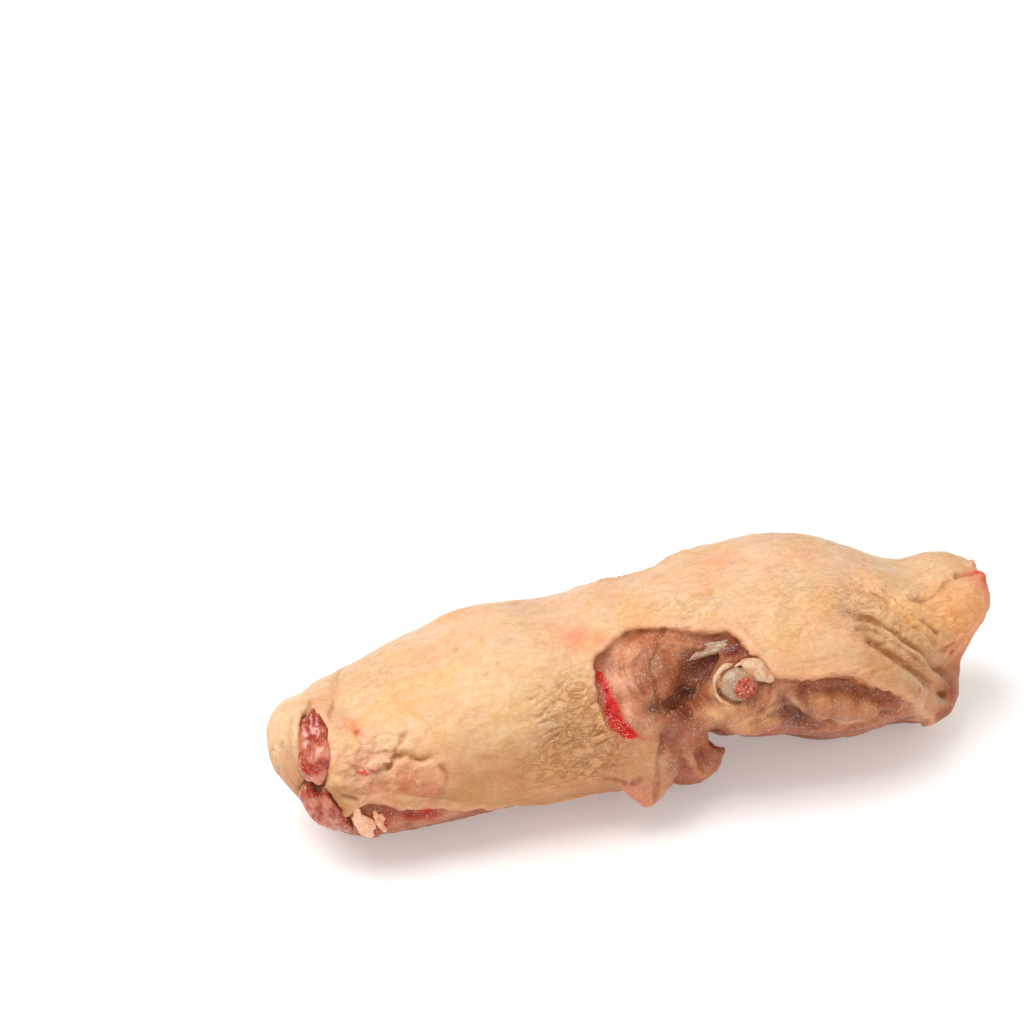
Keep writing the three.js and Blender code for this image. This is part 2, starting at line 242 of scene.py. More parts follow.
# %% The body with clay added
CLAY = [
    ([(15.5, -31, 39), (18, -32.5, 36.5), (23, -33.5, 36.5), (27.5, -33, 39.5), (28.5, -31, 44), (26, -28, 48)],
     [1.6, 2.2, 2.4, 2.2, 1.8, 1.0]),
    ([(14, -31, 35.5), (18, -33, 31.5), (26, -34, 30.5), (33, -34, 32)], [1.6, 2.4, 2.4, 1.4]),
    ([(30, -33, 38), (37, -33.5, 34.5), (45, -34, 32.5), (55, -34.5, 30), (65, -33.5, 26), (75, -30, 20)],
     [1.6, 2.6, 3.0, 2.8, 2.6, 1.6]),
    ([(34, -32, 28), (44, -33, 25.5), (56, -33.5, 24), (66, -32, 20.5)], [1.2, 2.2, 2.4, 1.4]),
    ([(-12, -15, 46), (-12.5, -22, 43), (-12, -27.5, 38.5), (-12.5, -31, 32)], [1.5, 2.4, 2.6, 1.8]),
    ([(-6, -13, 47.5), (-6.5, -20, 45), (-6, -26, 41), (-4, -29.5, 36)], [1.6, 2.6, 2.8, 1.8]),
    ([(0, -11, 49.5), (5, -12, 49.5), (11, -15, 48.8), (17, -19.5, 48.5)], [1.4, 1.8, 1.5, 0.8]),
    (around("near", [(200, 8.2), (165, 8.3), (130, 8.6), (95, 8.8), (60, 8.6), (30, 8.4)], 0.6),
     [0.8, 1.4, 1.4, 1.5, 1.4, 0.8]),
    ([(103, -7.5, 38.5), (100, -9, 32), (96, -11, 25), (92, -14, 20.5)], [4.2, 4.0, 3.4, 2.2]),
    ([(97, -4, 42), (102, -3.6, 42.2), (107.4, -3.2, 43.6)], [2.4, 2.9, 2.2]),
    ([(66, -25.2, 47), (73, -27.4, 40.6), (80, -26.4, 32.6), (86.5, -22, 24)], [1.0, 1.8, 1.8, 1.2]),
]
CLAY += [([(x, -y, z) for x, y, z in line], widths) for line, widths in CLAY]
CLAY += [
    ([(90, -19, 18), (88.5, -22, 13.5), (84, -24.5, 11.5)], [2.6, 2.8, 2.2]),
    ([(-18, -31.5, 27), (-15, -33.5, 20), (-10, -34.5, 13), (-7.5, -34.5, 10.5)], [2.6, 2.6, 2.0, 1.0]),
    ([(-16, -33.5, 18.5), (-11, -35.2, 15), (-8.5, -35.4, 12)], [1.6, 2.2, 1.2]),
    ([(-7.5, -33.5, 27), (-7.5, -34.5, 20), (-7.5, -35, 14)], [1.6, 1.8, 1.4]),
    ([(2, -29.5, 28), (5, -30, 22), (7, -29.5, 16), (9.5, -28.5, 11.5)], [1.6, 2.0, 1.8, 1.4]),
    ([(9, -26.8, 26), (12, -25.8, 21.5), (14.3, -25.8, 17), (13.6, -26.3, 12.5), (10.8, -27, 9.4)],
     [1.2, 1.5, 1.7, 1.7, 1.4]),
    ([(-93, -20, 37), (-90, -23, 32.5), (-90.5, -25.5, 27.5), (-88, -27, 23)], [1.4, 1.8, 1.8, 1.4]),
    ([(-85, -22, 34.5), (-81, -24.5, 31), (-78, -27, 27), (-75, -28, 24.5)], [1.2, 2.0, 2.4, 1.6]),
    ([(-88.5, -26.5, 24), (-86, -27.5, 19.5), (-84, -27.5, 15)], [1.5, 1.9, 1.2]),
    ([(-92.5, -25, 21), (-89.5, -26.5, 16.5), (-86, -26.5, 12.5)], [1.6, 1.9, 1.2]),
    ([(-79, -27.5, 19), (-72, -28, 18), (-64, -28.5, 18), (-56, -28, 18), (-51, -27.5, 19)],
     [1.4, 2.0, 1.4, 1.6, 0.8]),
    ([(-104.5, 8, 35), (-105.5, -1, 38), (-106, -8, 36), (-105.5, -12.5, 32)], [1.6, 2.6, 2.2, 1.2]),
    ([(-95.4, -7, 44), (-95.9, -13, 41), (-97, -18.5, 36), (-97.8, -21.5, 31.5)], [1.2, 1.9, 2.0, 1.2]),
    ([(-101.2, -2.4, 44.2), (-103.4, -8, 41.9), (-104.8, -13, 37.9), (-104.5, -17.5, 33.3)],
     [1.0, 1.9, 2.1, 1.2]),
]

SOCKET_PLACE = (0.4, -0.6, -2.8)
SOCKET_HALF = (8.4, 7.6, 3.5)
DOUBLES_MM = 0.01


def merge():
    bpy.ops.mesh.select_all(action="SELECT")
    bpy.ops.mesh.remove_doubles(threshold=DOUBLES_MM * MM)


def joined(first, others):
    only(first)
    for piece in others:
        piece.select_set(True)
    bpy.ops.object.join()


only(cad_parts["skin_and_flesh"])
bpy.ops.object.duplicate()
body = bpy.context.object
body.name = "chicken_back"
editing(body, merge)
for line, widths in CLAY:
    joined(body, [strand("clay", line, widths)])
for side in JOINTS:
    joined(body, [lump("clay", beside(side, *SOCKET_PLACE), SOCKET_HALF, turned(side, 0))])
print("clay strands:", len(CLAY))

# %% [markdown]
# A voxel remesh melts body and clay into one surface. Then the deep places are cut out with strands as
# knives: the hollow beside the hip muscle and the groove under it, the gap under the skin's edge behind the
# joint, the seam and the pouch of the flap, and the notch where the table shows between flap and joint. A
# second remesh and smoothing soften the cuts as meat would.

# %% The body with the deep places cut out
VOXEL_MM = 1.15
CUTS = [
    ([(17, -19.5, 47), (12, -20, 45), (7, -22.5, 41.5), (3, -26, 39.5)], [2.0, 3.8, 3.2, 1.8]),
    ([(9, -20.5, 37.5), (2, -24.7, 38.8), (-2.3, -28.3, 40.1), (-6, -28.8, 41), (-9.5, -28, 41.5)],
     [2.4, 2.1, 1.8, 1.1, 0.5]),
    ([(34, -33, 42.3), (40.2, -33.2, 41.2), (45.6, -33.8, 39.6), (51.6, -34.2, 37.8), (57.6, -35, 35.1),
      (63.8, -35.4, 31.5), (70, -33.8, 26.6)],
     [0.6, 1.7, 2.1, 2.1, 1.9, 1.5, 0.6]),
    ([(30.5, -35, 39), (32.5, -34.8, 35.5), (36, -34, 31), (41, -34.8, 26.8)], [0.6, 1.6, 1.9, 0.9]),
]
CUTS += [([(x, -y, z) for x, y, z in line], widths) for line, widths in CUTS]
CUTS += [
    ([(-4.6, -33.2, 30.4), (-4.8, -36.6, 26), (-4.6, -36.8, 20), (-4.5, -36.5, 13)], [0.7, 1.4, 1.6, 1.4]),
    ([(10.6, -35.7, 32), (20, -13.7, 12.4)], [2.9, 2.9]),
]
POUCH_CENTRE, POUCH_HALF, POUCH_TURN = (11.2, -28.6, 22.5), (2.4, 2.6, 7.5), (0, -25, 0)

applied(body, "REMESH", mode="VOXEL", voxel_size=VOXEL_MM * MM)
knives = [strand("cut", line, widths) for line, widths in CUTS]
knives.append(lump("pouch", POUCH_CENTRE, POUCH_HALF, POUCH_TURN))
for knife in knives:
    applied(body, "BOOLEAN", object=knife, operation="DIFFERENCE", solver="EXACT")
    bpy.data.objects.remove(knife)
applied(body, "REMESH", mode="VOXEL", voxel_size=VOXEL_MM * MM)
applied(body, "SMOOTH", factor=0.5, iterations=6)
print("body faces:", len(body.data.polygons))

# %% [markdown]
# Lines and spots place the detail. A line is a smooth curve through a few points read off the solid, and
# what matters is each skin point's distance to it. A spot is a soft round dab. Both give numbers from 0 to
# 1 for every point of the mesh, which then either push the surface or colour it.

# %% Lines and spots
def smooth_line(corners, closed=False, steps=8):
    corners = np.array(corners, float)
    count = len(corners)
    line = []
    for i in range(count if closed else count - 1):
        if closed:
            a, b, c, d = (corners[(i + k) % count] for k in (-1, 0, 1, 2))
        else:
            a, b, c, d = (corners[min(max(i + k, 0), count - 1)] for k in (-1, 0, 1, 2))
        for t in np.arange(steps) / steps:
            line.append(0.5 * (2 * b + (c - a) * t + (2 * a - 5 * b + 4 * c - d) * t**2
                               + (3 * b - a - 3 * c + d) * t**3))
    if not closed:
        line.append(corners[-1])
    return np.array(line)


def line_distance(points, line):
    best = np.full(len(points), 1e9)
    for a, b in zip(line[:-1], line[1:]):
        along = b - a
        t = np.clip((points - a) @ along / (along @ along), 0, 1)
        best = np.minimum(best, np.linalg.norm(points - a - t[:, None] * along, axis=1))
    return best


def stroke(points, corners, width):
    line = smooth_line(corners, steps=5)
    near = np.all((points > line.min(0) - 3 * width) & (points < line.max(0) + 3 * width), axis=1)
    weight = np.zeros(len(points))
    weight[near] = bell(line_distance(points[near], line), 0, width)
    return weight


def strokes(points, lines, width):
    return np.maximum.reduce([stroke(points, line, width) for line in lines])


def dabs(points, spots):
    total = np.zeros(len(points))
    for x, y, z, radius, strength in spots:
        far = np.linalg.norm(points - (x, y, z), axis=1)
        total = np.maximum(total, strength * bell(far, 0, radius))
    return total


def soft_step(value, low, high):
    t = np.clip((value - low) / (high - low), 0, 1)
    return t * t * (3 - 2 * t)


def bell(value, centre, width):
    return np.exp(-((value - centre) / width) ** 2)


print("a line through 3 corners has", len(smooth_line([(0, 0, 0), (10, 5, 0), (20, 0, 0)])), "points")

# %% [markdown]
# The skin's edge round each opened hip is drawn on a plane that faces the opening: along the back, and up
# the slope of the side. `inside` is how many millimetres a point lies within such an outline, or minus how
# many it lies outside. Under the body the skin stops at a height above the table.

# %% The skin's edge
SLOPE = math.radians(48)
OUTWARDS_MM = 9
NOWHERE_NEAR_MM = 30
NEAR_EDGE = [
    (-3.5, -16), (-4.5, -8), (-6, -1), (-11, 3), (-16.5, 6), (-19.5, 11.5), (-20.5, 18.9), (-16.5, 27.9),
    (-8.5, 32.9), (3.5, 33.4), (12.5, 29.9), (20.5, 26.4), (26.5, 17.4), (30.5, 11), (39.5, 9.8),
    (49.5, 9.2), (59.5, 4), (71.5, -3.6), (82.5, -10.1), (81.5, -21.1), (57.5, -35.1), (5.5, -35.1),
    (-1.5, -26),
]
FAR_EDGE = [
    (-2.5, -6.9), (-6.5, 5.1), (-7.5, 12.1), (-2.5, 18.1), (5.5, 20.6), (15.5, 20.6), (25.5, 17.6),
    (33.5, 11.1), (45.5, 8.1), (57.5, 4.1), (69.5, -3.9), (73.5, -14.9), (53.5, -30.9), (5.5, -28.9),
]
UNDER_EDGE = [
    (-110, 14), (-97, 19), (-91, 26), (-81, 25), (-71, 22), (-57, 17.5), (-48, 13), (-40, 10), (-15, 8),
    (0, 9), (75, 9), (90, 4), (110, 0),
]


def inside(points, corners, side):
    up_slope = math.cos(SLOPE) * points[:, 1] * side + math.sin(SLOPE) * points[:, 2]
    flat = np.stack([points[:, 0], up_slope], 1)
    loop = smooth_line(corners, closed=True)
    loop = np.vstack([loop, loop[:1]])
    crossed = np.zeros(len(points), bool)
    for a, b in zip(loop[:-1], loop[1:]):
        if a[1] != b[1]:
            spans = (flat[:, 1] < a[1]) != (flat[:, 1] < b[1])
            crossed ^= spans & (flat[:, 0] < a[0] + (flat[:, 1] - a[1]) * (b[0] - a[0]) / (b[1] - a[1]))
    far = line_distance(flat, loop)
    outwards = -math.sin(SLOPE) * points[:, 1] * side + math.cos(SLOPE) * points[:, 2]
    return np.where(outwards > OUTWARDS_MM, np.where(crossed, far, -far), -NOWHERE_NEAR_MM)


def drift(points, size_mm):
    return np.array([mathutils.noise.noise(Vector(point) / size_mm) for point in points])


def past_edge(points):
    under = np.interp(points[:, 0], *zip(*UNDER_EDGE)) - points[:, 2]
    clean = np.maximum.reduce([inside(points, NEAR_EDGE, 1), inside(points, FAR_EDGE, -1), under])
    wander_mm = 1.6 * drift(points, 9) + 0.9 * drift(points, 3)
    return clean + wander_mm


print("points past the skin's edge:", int((past_edge(points_of(body)) > 0).sum()))

# %% [markdown]
# The faces near the opened hip, the neck's cut end and the tail's folds are picked by place and divided
# once.

# %% Finer faces where the detail is
def divide():
    bpy.ops.mesh.subdivide(number_cuts=1, smoothness=0)


def pick_faces(piece, wanted):
    only(piece)
    bpy.ops.object.mode_set(mode="EDIT")
    bpy.ops.mesh.select_all(action="DESELECT")
    bpy.ops.object.mode_set(mode="OBJECT")
    flat = np.empty(len(piece.data.polygons) * 3)
    piece.data.polygons.foreach_get("center", flat)
    piece.data.polygons.foreach_set("select", wanted(flat.reshape(-1, 3) / MM))


def detailed(centres):
    x, y, z = centres.T
    hip = (x > -24) & (x < 90) & (y < 0) & (z > 5) & (inside(centres, NEAR_EDGE, 1) > -5)
    flap = (x > -40) & (x < 0) & (y < -18) & (z > 8)
    neck = (x < -64) & (y < 4) & (z > 12)
    tail = (x > 62) & (y < -2) & (z > 12) & (z < 53)
    return hip | flap | neck | tail


pick_faces(body, detailed)
editing(body, divide)
applied(body, "SMOOTH", factor=0.5, iterations=3)
print("body faces:", len(body.data.polygons), "triangles:",
      sum(len(f.vertices) - 2 for f in body.data.polygons))

# %% [markdown]
# Relief is pushed in and out as a sculptor would: each fold or muscle is a vertex group, strong along its
# line, and a modifier works on the surface by that weight. `weighted` runs any modifier that way, and
# `pushed` a Displace, which moves the surface along its normal. With a cloud texture the push is uneven.

# %% Pushing the surface
WEIGHT_LEVELS = 120


def weighted(piece, name, weights, kind, **settings):
    group = piece.vertex_groups.new(name=name)
    levels = np.round(np.clip(weights, 0, 1) * WEIGHT_LEVELS).astype(int)
    for level in range(1, WEIGHT_LEVELS + 1):
        group.add(np.nonzero(levels == level)[0].tolist(), level / WEIGHT_LEVELS, "REPLACE")
    applied(piece, kind, vertex_group=name, **settings)
    piece.vertex_groups.remove(piece.vertex_groups[name])


def pushed(piece, name, weights, height_mm, texture=None):
    settings = {"strength": height_mm * MM, "mid_level": 0.5 if texture else 0.0}
    if texture:
        settings.update(texture=texture, texture_coords="LOCAL")
    weighted(piece, name, weights, "DISPLACE", **settings)


def clouds(name, size_mm, depth=2):
    texture = bpy.data.textures.new(name, "CLOUDS")
    texture.noise_scale = size_mm * MM
    texture.noise_depth = depth
    return texture


uneven_fat = clouds("uneven_fat", 14)
small_lumps = clouds("small_lumps", 3.2)
pebbles = clouds("pebbles", 2.4, 1)
print("cloud sizes in mm:", [round(t.noise_scale / MM, 1) for t in (uneven_fat, small_lumps, pebbles)])

# %% [markdown]
# The skin is about two millimetres thick, and its edge rolls a little. So the edge is raised on the skin's
# side and the flesh just inside it sinks, which makes a crisp step where the smoothing had left a slope. On
# the flap the skin was torn off gently, so the step fades there.

# %% The rolled edge of the skin
FLAP_SPOTS = [(-10, -33, 30, 8, 1), (-5, -35, 20, 9, 1), (-15, -32, 33, 4.5, 1), (-13, -33, 22, 8, 1),
              (-9, -34, 13, 7, 1)]
points = points_of(body)
edge = past_edge(points)
above_table = soft_step(points[:, 2], 2.0, 6.0)
thickness = np.clip(0.6 + 0.8 * drift(points, 7), 0, 1)
crisp = above_table * (1 - dabs(points, FLAP_SPOTS))
pushed(body, "edge_roll", bell(edge, -1.5, 1.4) * crisp * thickness, 0.9)
pushed(body, "edge_step", soft_step(edge, -0.5, 0.9) * np.exp(-np.maximum(edge, 0) / 6) * crisp, -1.2)
print("points on the rolled edge:", int((bell(edge, -1.5, 1.4) > 0.5).sum()))

# %% [markdown]
# Inside the hip there are the muscle left at the front with its folds, the dark hollow behind it, the
# collar of pale folds round the joint, the gap under the ball and the long almond of muscle behind. The
# same lines serve both hips, so the hidden side is finished too: they are read with the sides folded
# together. Only the creases of the flap are on the near side alone.

# %% Flesh of the hips
def folded(points):
    both = points.copy()
    both[:, 1] = -np.abs(both[:, 1])
    return both


DEEP_GROOVE = [(8, -20, 37), (2, -24.7, 38.8), (-2.3, -28.3, 40.1), (-6, -29, 41), (-9.5, -28, 41.5)]
MUSCLE_FOLDS = [
    [(-1.7, -6.8, 50.8), (-8.2, -10.7, 50.6), (-11.7, -18.2, 48), (-10.2, -25, 43.9), (-6.7, -29.6, 39.4)],
    [(4.5, -8.8, 50.8), (-3.5, -14.3, 50.3), (-8.3, -19.4, 48.1), (-7.5, -25.7, 43.8)],
    [(1.5, -12, 49.8), (-2.5, -18, 48.5), (-4, -23, 45.5), (-3.5, -28, 41)],
    [(14, -31, 38), (19, -33.5, 35), (26, -34, 34.5), (32, -34, 35)],
    [(16, -32.5, 33), (22, -34, 30), (29, -34, 29.5), (36, -34, 30)],
    [(32.4, -33.1, 40.7), (36, -34, 35), (42.5, -34.5, 30.2), (50.3, -34.9, 26.7), (59.1, -35.7, 28.8),
     (68, -34.5, 25)],
    [(39.1, -34.9, 41.5), (47, -35.5, 37.5), (56, -36, 34.5), (64, -35.5, 30), (70.6, -34.4, 26)],
]
ALMOND = [(43, -34.8, 34.5), (50, -35.5, 33.2), (58, -36, 30.2)]
FROSTED_FOLD = [(32.8, -32.6, 40), (35.6, -34.3, 36.6), (40.5, -35.8, 32.4), (45, -36, 28.8),
                (51, -35.8, 27), (57, -36.2, 27.2), (63, -35.8, 26.4)]
BALL_GAP = around("near", [(185, 5.9), (212, 5.7), (240, 5.3), (262, 5.0)], 0.8, -2.0, 1.2)
COLLAR_FOLDS = [
    around("near", [(150, 9.2), (190, 9.4), (230, 9.0), (270, 8.6), (305, 8.4)], 0.4),
    around("near", [(215, 12.2), (250, 11.6), (285, 11.0), (315, 10.4), (345, 9.4)], -0.5),
    around("near", [(320, 7.6), (350, 7.0), (15, 7.4)], 0.5),
]
PALE_LIP = [(4, -13, 50), (8, -14.5, 49.6), (12.5, -16.5, 49)]

FLAP_CREASES = [
    [(-3.5, -30, 34), (-4.6, -32.7, 30.4), (-6.2, -35.6, 26), (-6.6, -36.2, 21), (-6.9, -36.1, 17),
     (-7, -35.8, 13.5)],
    [(-20.5, -32.5, 21.5), (-17.6, -34.5, 21.5), (-14.5, -34.9, 20.6), (-12, -35, 21)],
]

points = points_of(body)
both = folded(points)
flesh = soft_step(past_edge(points), 0, 2)
folds = strokes(both, MUSCLE_FOLDS, 0.7) * np.clip(0.7 + drift(points, 4), 0, 1)
pushed(body, "folds", flesh * folds, -0.9)
pushed(body, "almond", flesh * stroke(both, ALMOND, 3.2), 1.6)
pushed(body, "lip", flesh * stroke(both, PALE_LIP, 1.0), 0.9)
pushed(body, "frosted_fold", flesh * stroke(both, FROSTED_FOLD, 0.75), 0.9)
pushed(body, "ball_gap", flesh * stroke(both, BALL_GAP, 0.6), -1.8)
collar = strokes(both, COLLAR_FOLDS, 0.8) * np.clip(0.6 + drift(points, 3), 0, 1)
pushed(body, "collar_folds", flesh * collar, -1.2)
pushed(body, "flap_creases", strokes(points, FLAP_CREASES, 0.8), -1.5)
pushed(body, "flesh_lumps", flesh * above_table, 1.3, small_lumps)
print("points of flesh:", int((flesh > 0.5).sum()))

# %% [markdown]
# The neck end is a roll of skin over the cut muscles, lumpy with fat, with creases where it was folded back
# and round the nick. The tail stands on deep folds, and the skin between them is smoothed flat first,
# because there it is pulled tight. A fine ridge marks the spine.

# %% Creases, folds and the ridge of the spine
NECK_CREASES = [
    [(-83, 22, 36), (-86.5, 13.7, 38.8), (-90.4, -0.9, 41.8), (-93.4, -6.5, 43.3), (-95.6, -13, 41)],
    [(-75.1, -17.3, 40), (-76.6, -18.8, 38.6), (-78.4, -20, 37.2), (-79.4, -21.6, 36),
     (-81.6, -23.1, 34.7)],
    [(-79.2, -21.8, 36.6), (-76.5, -22.8, 37.2), (-73.5, -24.5, 36), (-70.1, -25.1, 36.6)],
    [(-67.5, -27, 34), (-66.2, -28.2, 31), (-68, -29, 27.5), (-67.7, -29.4, 24)],
    [(-94.3, -19.8, 38.9), (-90.5, -21.5, 36), (-88.8, -22.3, 34.5), (-87.5, -24.5, 30.5)],
    [(-94.8, -25, 28.5), (-90.7, -26, 27.5), (-85, -27.3, 26.5), (-81.3, -28.2, 25.4)],
    [(-96, 2, 43), (-99, -4, 43), (-103, -9, 40.5), (-105, -13.5, 36)],
]
TAIL_FOLDS = [
    [(57, -18.5, 53.5), (62.4, -20.5, 51.8), (68.6, -22.7, 47.6), (75.6, -25.5, 41.5), (82.6, -24.4, 31.8),
     (87, -20.5, 26), (90.1, -17.4, 22.2)],
    [(60.1, -27.8, 48.7), (66.6, -30.1, 43.4), (72.8, -31.1, 37.3), (78, -29.5, 31), (82.2, -26.4, 25.2),
     (88.5, -23, 18.2)],
]
TAIL_CREASES = [
    [(105, -2.4, 43.6), (99.2, -2.9, 45.7), (95.5, -5, 45.5), (92.6, -6.8, 45.1), (89.5, -8.2, 44),
     (86.9, -9.2, 43.5)],
    [(86.9, -9.2, 43.5), (84.5, -9.6, 44), (80.5, -9.4, 45.5)],
    [(66, -11, 51.8), (70.4, -13.2, 50.1), (74.5, -16.5, 46.5), (77.6, -19.3, 43.8), (82, -20.3, 39),
     (85.3, -20.2, 34.2)],
    [(72, -9, 50.3), (76.5, -12.5, 47), (81, -16, 42.5), (86, -17.5, 37)],
    [(86, -20, 32.5), (90, -17.5, 31.5), (95, -14.5, 33)],
    [(57.4, -25, 51.6), (64, -25.5, 48.8), (70, -28, 43.5), (77, -29, 36)],
]
SPINE_RIDGE = [(-44, -2, 52.5), (-37.3, -0.8, 52.7), (-23.1, 2.5, 52), (-8, 5.1, 52.3), (1.8, 4.7, 53.2),
               (10, 3, 54)]

NECK_LUMPS = [(-88, -18, 37, 8, 1), (-80, -24, 34, 8, 1), (-90, -23, 31, 7, 1), (-72, -27, 31, 7, 0.8),
              (-64, -28, 29, 6, 0.5)]
TAIL_STIFF = [(70, -25, 45, 7, 1), (76, -25, 39, 7, 1), (82, -24, 31, 6, 1), (87, -21, 25, 4, 0.8)]

points = points_of(body)
weighted(body, "tail_flat", dabs(points, TAIL_STIFF), "SMOOTH", factor=0.5, iterations=40)
points = points_of(body)
skin = 1 - soft_step(past_edge(points), -1, 1)
waning = np.clip(0.65 + 1.1 * drift(points, 5), 0, 1)
pushed(body, "neck_lumps", skin * dabs(points, NECK_LUMPS), 2.6, small_lumps)
pushed(body, "tail_valleys", skin * strokes(points, TAIL_FOLDS, 3.0), -1.4)
pushed(body, "tail_folds", skin * strokes(points, TAIL_FOLDS, 0.7), -2.2)
pushed(body, "creases", strokes(points, NECK_CREASES + TAIL_CREASES, 0.75) * waning, -1.7)
pushed(body, "spine", skin * stroke(points, SPINE_RIDGE, 1.3) * waning, 1.0)
pushed(body, "fat_under_skin", skin * above_table, 2.0, uneven_fat)
print("creases:", len(NECK_CREASES), "at the neck,", len(TAIL_CREASES + TAIL_FOLDS), "at the tail")

# %% [markdown]
# Plucked skin is pebbly where the thigh was, with furrows that run up and back between the pebbles.
# Elsewhere it has fine crepe wrinkles that mostly run along the back. Both are the places where a slow
# noise, drawn out one way, crosses zero. The wrinkles are strongest by the tail and the pebbly place.

# %% Pebbles and crepe wrinkles
PEBBLED = [
    (-27, -24, 45, 8, 1), (-31, -29, 38, 9, 1), (-22, -30, 38, 8, 1), (-36, -30, 30, 9, 0.9),
    (-26, -32, 29, 8, 1),
]
WRINKLED = PEBBLED + [
    (85, -13, 40, 11, 0.5), (72, -24, 40, 12, 0.5), (-87, -20, 34, 8, 0.5), (60, -16, 53, 10, 0.5),
    (14, -4, 54, 10, 0.4), (92, -14, 33, 8, 0.6), (-76, 2, 44, 8, 0.25), (40, -10, 57, 12, 0.3),
]
FURROW_WAY = (0.94, 0.25, 0.33)


def crepe(points, size_mm, way=(1, 0, 0), squeeze=0.45, width=0.13):
    way = np.array(way) / np.linalg.norm(way)
    drawn_out = points - (1 - squeeze) * (points @ way)[:, None] * way
    lines = 1 - np.abs(drift(drawn_out, size_mm)) / width
    fading = np.clip(0.5 + 1.6 * drift(points, 11), 0, 1)
    return np.clip(lines, 0, 1) * fading


def furrows(points):
    return dabs(points, PEBBLED) * np.clip(crepe(points, 3.2, FURROW_WAY, 0.3, 0.1) * 1.6, 0, 1)


points = points_of(body)
skin = 1 - soft_step(past_edge(points), -1, 1)
wrinkled = dabs(points, WRINKLED)
pebbled = dabs(points, PEBBLED)
pushed(body, "pebbles", skin * pebbled, 0.8, pebbles)
pushed(body, "furrows", skin * furrows(points), -0.9)
pushed(body, "crepe_fine", skin * crepe(points, 2.6) * (0.25 + 0.75 * wrinkled) * (1 - 0.7 * pebbled), -0.5)
pushed(body, "crepe_broad", skin * above_table * crepe(points, 6.0), -0.5)
bpy.ops.object.shade_smooth()
print("relief done, box in mm:", [[round(v, 1) for v in c] for c in (points.min(0), points.max(0))])

# %% [markdown]
# Colour goes on like paint. Each point of the mesh gets a skin colour and a flesh colour, brushed on with
# the same lines and spots, and a few masks say where it is bloody, frosted or wrinkled. The material adds
# the fine mottling later, so the brushing can stay broad.

# %% Brushes
def swatch(red, green, blue):
    screen = np.array([red, green, blue]) / 255
    return np.where(screen > 0.04, ((screen + 0.055) / 1.055) ** 2.4, screen / 12.92)


def brushed(paint, colour, mask):
    return paint + (swatch(*colour) - paint) * np.clip(mask, 0, 1)[:, None]


def keep_colour(piece, name, paint):
    layer = piece.data.attributes.new(name, "FLOAT_COLOR", "POINT")
    layer.data.foreach_set("color", np.hstack([paint, np.ones((len(paint), 1))]).ravel())


def keep_mask(piece, name, mask):
    layer = piece.data.attributes.new(name, "FLOAT", "POINT")
    layer.data.foreach_set("value", mask)


print("white on the screen is", swatch(255, 255, 255).round(2), "as light")
